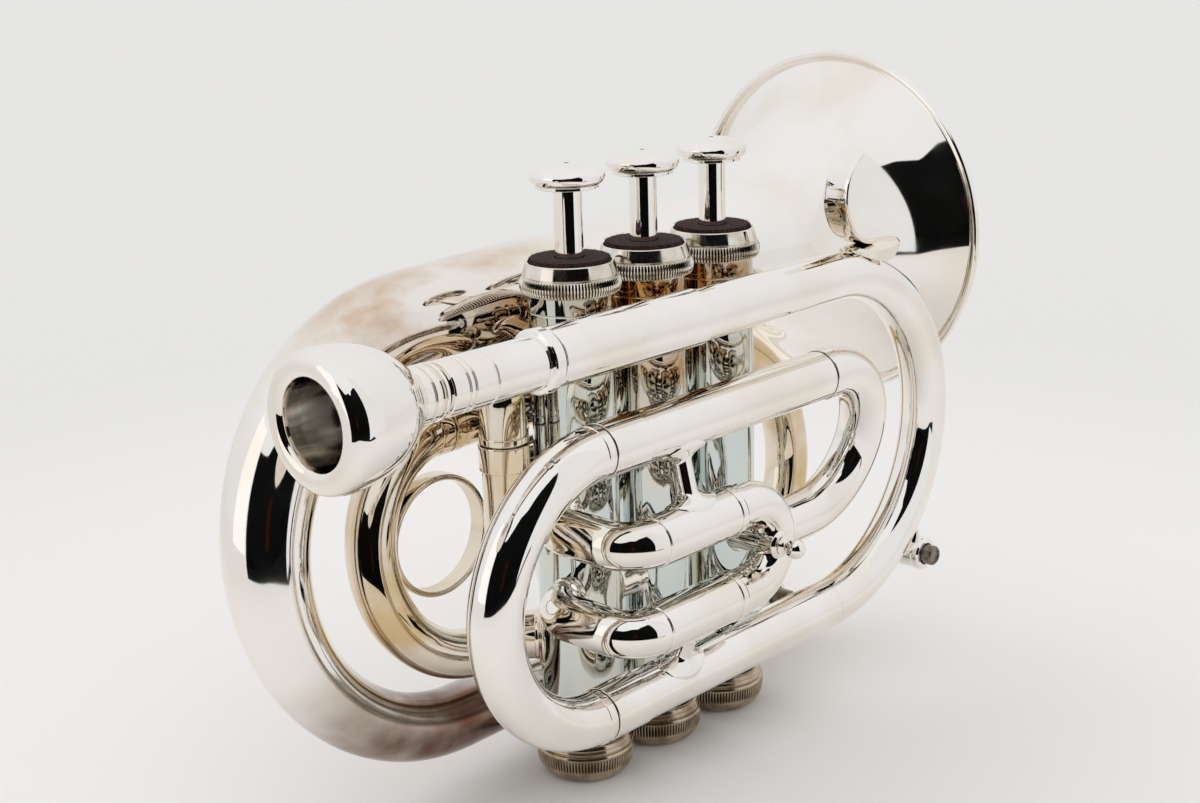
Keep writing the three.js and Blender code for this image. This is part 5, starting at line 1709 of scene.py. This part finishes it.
@dataclass
class WaterKey(Assembly):
    """A water key: a barrel across the outside of a bow, with a spring-loaded stud."""

    number: int
    y: float
    inward_degrees: float
    body: Body
    radius: float = 4.2
    length: float = 10.0
    bore: float = 2.75
    stud_radius: float = 2.5

    def pieces(self) -> list[Piece]:
        """The barrel with its saddle stub, and the stud."""
        barrel_node, stud_node = f"water_key_barrel_{self.number}", f"water_key_plunger_{self.number}"
        stud_low, stud_high = low(stud_node), high(stud_node)
        centre = np.array([middle(stud_node)[0], self.y, middle(stud_node)[2]])
        half, r = self.length / 2.0, self.radius
        profile = rounded([
            [self.bore, -half], [r - 0.5, -half], [r, 0.5 - half], [r, 1.6 - half], [r - 0.22, 1.75 - half],
            [r - 0.22, 2.0 - half], [r, 2.15 - half], [r, half - 0.7], [r - 0.9, half], [0.0, half],
            [0.0, half - 1.0], [self.bore, half - 1.0],
        ], 0.16, 3)
        inward = math.radians(self.inward_degrees)
        way = np.array([math.cos(inward), 0.0, math.sin(inward)])
        stub = saddle(centre + way * (r + 2.0), -way, LEFT, 4.6, 3.3, 3.2, 6.0)
        stud_length = stud_high[1] - stud_low[1]
        stud = rounded([
            [0.0, 0.35], [self.stud_radius - 0.9, 0.35], [self.stud_radius - 0.8, 0.0],
            [self.stud_radius - 0.35, 0.0], [self.stud_radius, 0.4], [self.stud_radius, stud_length],
            [0.0, stud_length],
        ], 0.12, 3)
        barrel = lathe(profile[:-1], centre, LEFT, 80)
        turned_stud = lathe(stud, [centre[0], stud_low[1], centre[2]], LEFT, 64)
        return [
            Piece(f"key_barrel_{self.number}", [barrel, stub], BRIGHT, (barrel_node,)),
            Piece(f"key_stud_{self.number}", [turned_stud], STEEL, (stud_node,), Slot.STEEL, self.body),
        ]


# The studio


@dataclass(frozen=True)
class Camera:
    """The photograph's camera, as fitted to the horn."""

    place: tuple[float, float, float] = (-296.6, -266.21, 193.89)
    yaw: float = 43.46
    pitch: float = 15.678
    roll: float = -1.697
    lens: float = 54.53
    sensor: float = 36.0
    nearest: float = 10.0
    furthest: float = 50000.0

    def axes(self) -> tuple[np.ndarray, np.ndarray, np.ndarray]:
        """The camera's directions, rolled about its line of sight.

        Returns:
            Its right, up and forward directions.
        """
        yaw, pitch, roll = (math.radians(value) for value in (self.yaw, self.pitch, self.roll))
        ahead = np.array([math.cos(yaw) * math.cos(pitch), math.sin(yaw) * math.cos(pitch), -math.sin(pitch)])
        right = np.array([math.sin(yaw), -math.cos(yaw), 0.0])
        above = np.cross(right, ahead)
        return (
            math.cos(roll) * right + math.sin(roll) * above,
            -math.sin(roll) * right + math.cos(roll) * above,
            ahead,
        )

    def make(self) -> None:
        """Adds the camera."""
        right, above, ahead = self.axes()
        lens = bpy.data.cameras.new("camera")
        lens.lens, lens.sensor_width = self.lens, self.sensor
        lens.clip_start, lens.clip_end = self.nearest * MM, self.furthest * MM
        made = bpy.data.objects.new("camera", lens)
        made.matrix_world = Matrix((
            (right[0], above[0], -ahead[0], self.place[0] * MM),
            (right[1], above[1], -ahead[1], self.place[1] * MM),
            (right[2], above[2], -ahead[2], self.place[2] * MM),
            (0.0, 0.0, 0.0, 1.0),
        ))
        bpy.context.scene.collection.objects.link(made)
        bpy.context.scene.camera = made


@dataclass(frozen=True)
class Card:
    """A matt card of the studio, or a lit one where it glows, given by a grid of points."""

    name: str
    grid: np.ndarray
    colour: str
    glow: float = 0.0
    seen_directly: bool = False

    def make(self) -> bpy.types.Object:
        """Adds the card; a hidden one shows only in reflections."""
        mesh = bpy.data.meshes.new(self.name)
        quads = grid_quads(*self.grid.shape[:2], False, False)
        mesh.from_pydata((self.grid.reshape(-1, 3) * MM).tolist(), [], quads.tolist())
        made = bpy.data.objects.new(self.name, mesh)
        bpy.context.scene.collection.objects.link(made)
        material = bpy.data.materials.new(self.name)
        material.use_nodes = True
        shader = material.node_tree.nodes["Principled BSDF"]
        shader.inputs["Base Color"].default_value = linear("#000000" if self.glow else self.colour)
        shader.inputs["Roughness"].default_value = 0.9
        shader.inputs["Specular IOR Level"].default_value = 0.1
        shader.inputs["Emission Color"].default_value = linear(self.colour)
        shader.inputs["Emission Strength"].default_value = self.glow
        mesh.materials.append(material)
        if not self.seen_directly:
            made.visible_camera = made.visible_diffuse = made.visible_shadow = False
            made.visible_transmission = made.visible_volume_scatter = False
        return made


@dataclass
class Studio:
    """A pale tent round the horn, open towards the camera, over a pale floor."""

    floor_half: float = 9000.0
    floor_colour: str = "#EAE7E4"
    thrown_light: str = "#FFFAF4"
    thrown_strength: float = 0.1
    thrown_near: tuple[float, float] = (8.0, 26.0)
    thrown_far: tuple[float, float] = (110.0, 420.0)
    thrown_narrowing: float = 0.33
    tent_colour: str = "#F1F3F5"
    tent_strengths: tuple[float, float] = (0.93, 1.04)
    backdrop: str = "#E6E5E4"
    dark: str = "#050505"
    opening_radius: float = 650.0
    opening_turns: tuple[float, ...] = (-42.0, -20.0, -8.0, 0.0, 13.0, 24.0, 44.0, 60.0)
    opening_tops: tuple[float, ...] = (495.0, 470.0, 560.0, 650.0, 640.0, 820.0, 960.0, 960.0)
    opening_starts: tuple[float, ...] = (420.0, 400.0, 400.0, 400.0, 370.0, 330.0, 260.0, 260.0)
    hung_radius: float = 640.0
    figure: str = "#2A0E08"
    figure_turns: tuple[float, float] = (1.0, 9.0)
    figure_heights: tuple[float, float] = (60.0, 230.0)
    cloth: str = "#FFFEFC"
    cloth_turns: tuple[float, float] = (-74.0, -44.0)
    cloth_heights: tuple[float, float] = (40.0, 620.0)
    cloth_glow: float = 1.1
    flap_turns: tuple[float, float] = (43.6, 79.2)
    flap_radii: tuple[float, float] = (290.0, 428.0)
    flap_heights: tuple[float, float] = (1.0, 900.0)
    flap_glow: float = 0.95
    lamp_spread: float = 38.0
    lamp_energy: float = 0.35
    lamp_tint: tuple[float, float, float] = (0.95, 0.98, 1.0)

    def floor(self) -> None:
        """A wide floor, with the faint warm light that the silver throws round the horn's foot.

        The light's strength rises with the distance from the valves' line, stretched along it, and
        falls again further out.
        """
        half = self.floor_half
        corners = np.array([[[-half, -half, 0], [half, -half, 0]], [[-half, half, 0], [half, half, 0]]])
        made = Card("floor", corners, self.floor_colour, seen_directly=True).make()
        tree = made.data.materials[0].node_tree
        shader = tree.nodes["Principled BSDF"]
        place = add_node(tree, "ShaderNodeTexCoord").outputs["Object"]
        narrowed = add_node(tree, "ShaderNodeMapping", Vector=place, Scale=(self.thrown_narrowing, 1.0, 1.0))
        away, spread = (
            add_node(tree, "ShaderNodeVectorMath", {"operation": "LENGTH"}, in_0=source).outputs["Value"]
            for source in (narrowed.outputs[0], place)
        )
        near = graded(tree, away, *(edge * MM for edge in self.thrown_near), 0.0, self.thrown_strength)
        far = graded(tree, spread, *(edge * MM for edge in self.thrown_far), 1.0, 0.0)
        shader.inputs["Emission Color"].default_value = linear(self.thrown_light)
        tree.links.new(product(tree, near, far), shader.inputs["Emission Strength"])

    def ring(self, turns: np.ndarray, radius: Any, height: Any) -> np.ndarray:
        """Points round the horn: at each angle, radius times (side sin - ahead cos), at a height.

        Args:
            turns: angles in degrees from the camera's side, positive to the camera's right.
            radius, height: one number, or one for each angle.

        Returns:
            The points.
        """
        right, _, ahead = Camera().axes()
        level, side = (unit(way * np.array([1.0, 1.0, 0.0])) for way in (ahead, right))
        angle = np.radians(turns)[:, None]
        points = (side * np.sin(angle) - level * np.cos(angle)) * np.reshape(radius, (-1, 1))
        points[:, 2] = height
        return points

    def hang(
        self, name: str, turns: np.ndarray, radii: Any, heights: Sequence[Any], colour: str,
        glow: float = 0.0,
    ) -> None:
        """Hangs an upright card round the horn.

        Args:
            name: the card's name.
            turns: the angles of its columns of points, as for ring().
            radii: how far from the horn they stand.
            heights: its lower and upper edge.
            colour, glow: its colour, and how strongly it shines.
        """
        Card(name, np.stack([self.ring(turns, radii, z) for z in heights]), colour, glow).make()

    def tent_front(self) -> None:
        """The dark opening round the camera with its ground and its figure, and the cloth beside it."""
        turns = np.linspace(self.opening_turns[0], self.opening_turns[-1], 60)
        tops = np.interp(turns, self.opening_turns, self.opening_tops)
        starts = np.interp(turns, self.opening_turns, self.opening_starts)
        self.hang("opening", turns, self.opening_radius, (1.0, tops), self.dark)
        foot = self.ring(turns, self.opening_radius, 1.0)
        Card("opening_floor", np.stack([self.ring(turns, starts, 1.0), foot]), self.dark).make()
        self.hang("figure", np.linspace(*self.figure_turns, 9), self.hung_radius, self.figure_heights,
                  self.figure)
        self.hang("lit_cloth", np.linspace(*self.cloth_turns, 12), self.hung_radius, self.cloth_heights,
                  self.cloth, self.cloth_glow)
        self.hang("flap", np.array(self.flap_turns), np.array(self.flap_radii), self.flap_heights,
                  self.tent_colour, self.flap_glow)

    def world(self) -> None:
        """The tent's light, brighter above than at the sides, and a plain tone for what the camera sees."""
        world = bpy.data.worlds.new("tent")
        world.use_nodes = True
        bpy.context.scene.world = world
        tree = world.node_tree
        tree.nodes.clear()
        place = add_node(tree, "ShaderNodeTexCoord").outputs["Generated"]
        height = add_node(tree, "ShaderNodeSeparateXYZ", Vector=place).outputs["Z"]
        bright = graded(tree, height, -0.2, 1.0, *self.tent_strengths)
        tent = add_node(tree, "ShaderNodeBackground", Color=linear(self.tent_colour), Strength=bright)
        plain = add_node(tree, "ShaderNodeBackground", Color=linear(self.backdrop), Strength=1.0)
        direct = add_node(tree, "ShaderNodeLightPath").outputs["Is Camera Ray"]
        mixed = add_node(
            tree, "ShaderNodeMixShader", in_0=direct, in_1=tent.outputs[0], in_2=plain.outputs[0],
        )
        add_node(tree, "ShaderNodeOutputWorld", Surface=mixed.outputs[0])

    def key_light(self) -> None:
        """A broad soft light from behind on the left, which gives the floor its soft shadows."""
        right, _, ahead = Camera().axes()
        way = (-right * 0.8 + ahead * 0.5) * np.array([1.0, 1.0, 0.0]) + UP
        lamp = bpy.data.lights.new("soft_light", "SUN")
        lamp.angle, lamp.energy = math.radians(self.lamp_spread), self.lamp_energy
        lamp.color = self.lamp_tint
        made = bpy.data.objects.new("soft_light", lamp)
        made.rotation_euler = (-Vector(way)).to_track_quat("-Z", "Y").to_euler()
        made.visible_glossy = False
        bpy.context.scene.collection.objects.link(made)

    def make(self) -> None:
        """Builds the studio."""
        self.floor()
        self.tent_front()
        self.world()
        self.key_light()
        Camera().make()
        bpy.context.scene.view_settings.view_transform = "Standard"


def dress_hidden_parts() -> None:
    """Gives the pistons and springs, which keep their CAD meshes, their metals."""
    for number in (1, 2, 3):
        for node, finish, slot in (
            (f"piston_{number}", MONEL, Slot.MONEL),
            (f"valve_spring_{number}", SPRING, Slot.SPRING),
        ):
            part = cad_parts[node]
            part.data.materials.clear()
            part.data.materials.append(material_of(finish))


def main() -> None:
    """Builds the horn and the studio."""
    assemblies = [
        *(Valve(number) for number in (1, 2, 3)),
        Mouthpiece(), Leadpipe(), MainSlide(), FirstSlide(), SecondSlide(), ThirdSlide(), FixedLoop(), Bell(),
        Braces(),
        WaterKey(1, LAYOUT.lower_y, 135.0, Body.KEY_1),
        WaterKey(2, middle("far_front_bow")[1], 120.0, Body.KEY_2),
    ]
    for assembly in assemblies:
        assembly.build()
    dress_hidden_parts()
    Studio().make()
    bpy.context.view_layer.update()


if __name__ == "__main__":
    logging.basicConfig(level=logging.INFO)
    main()
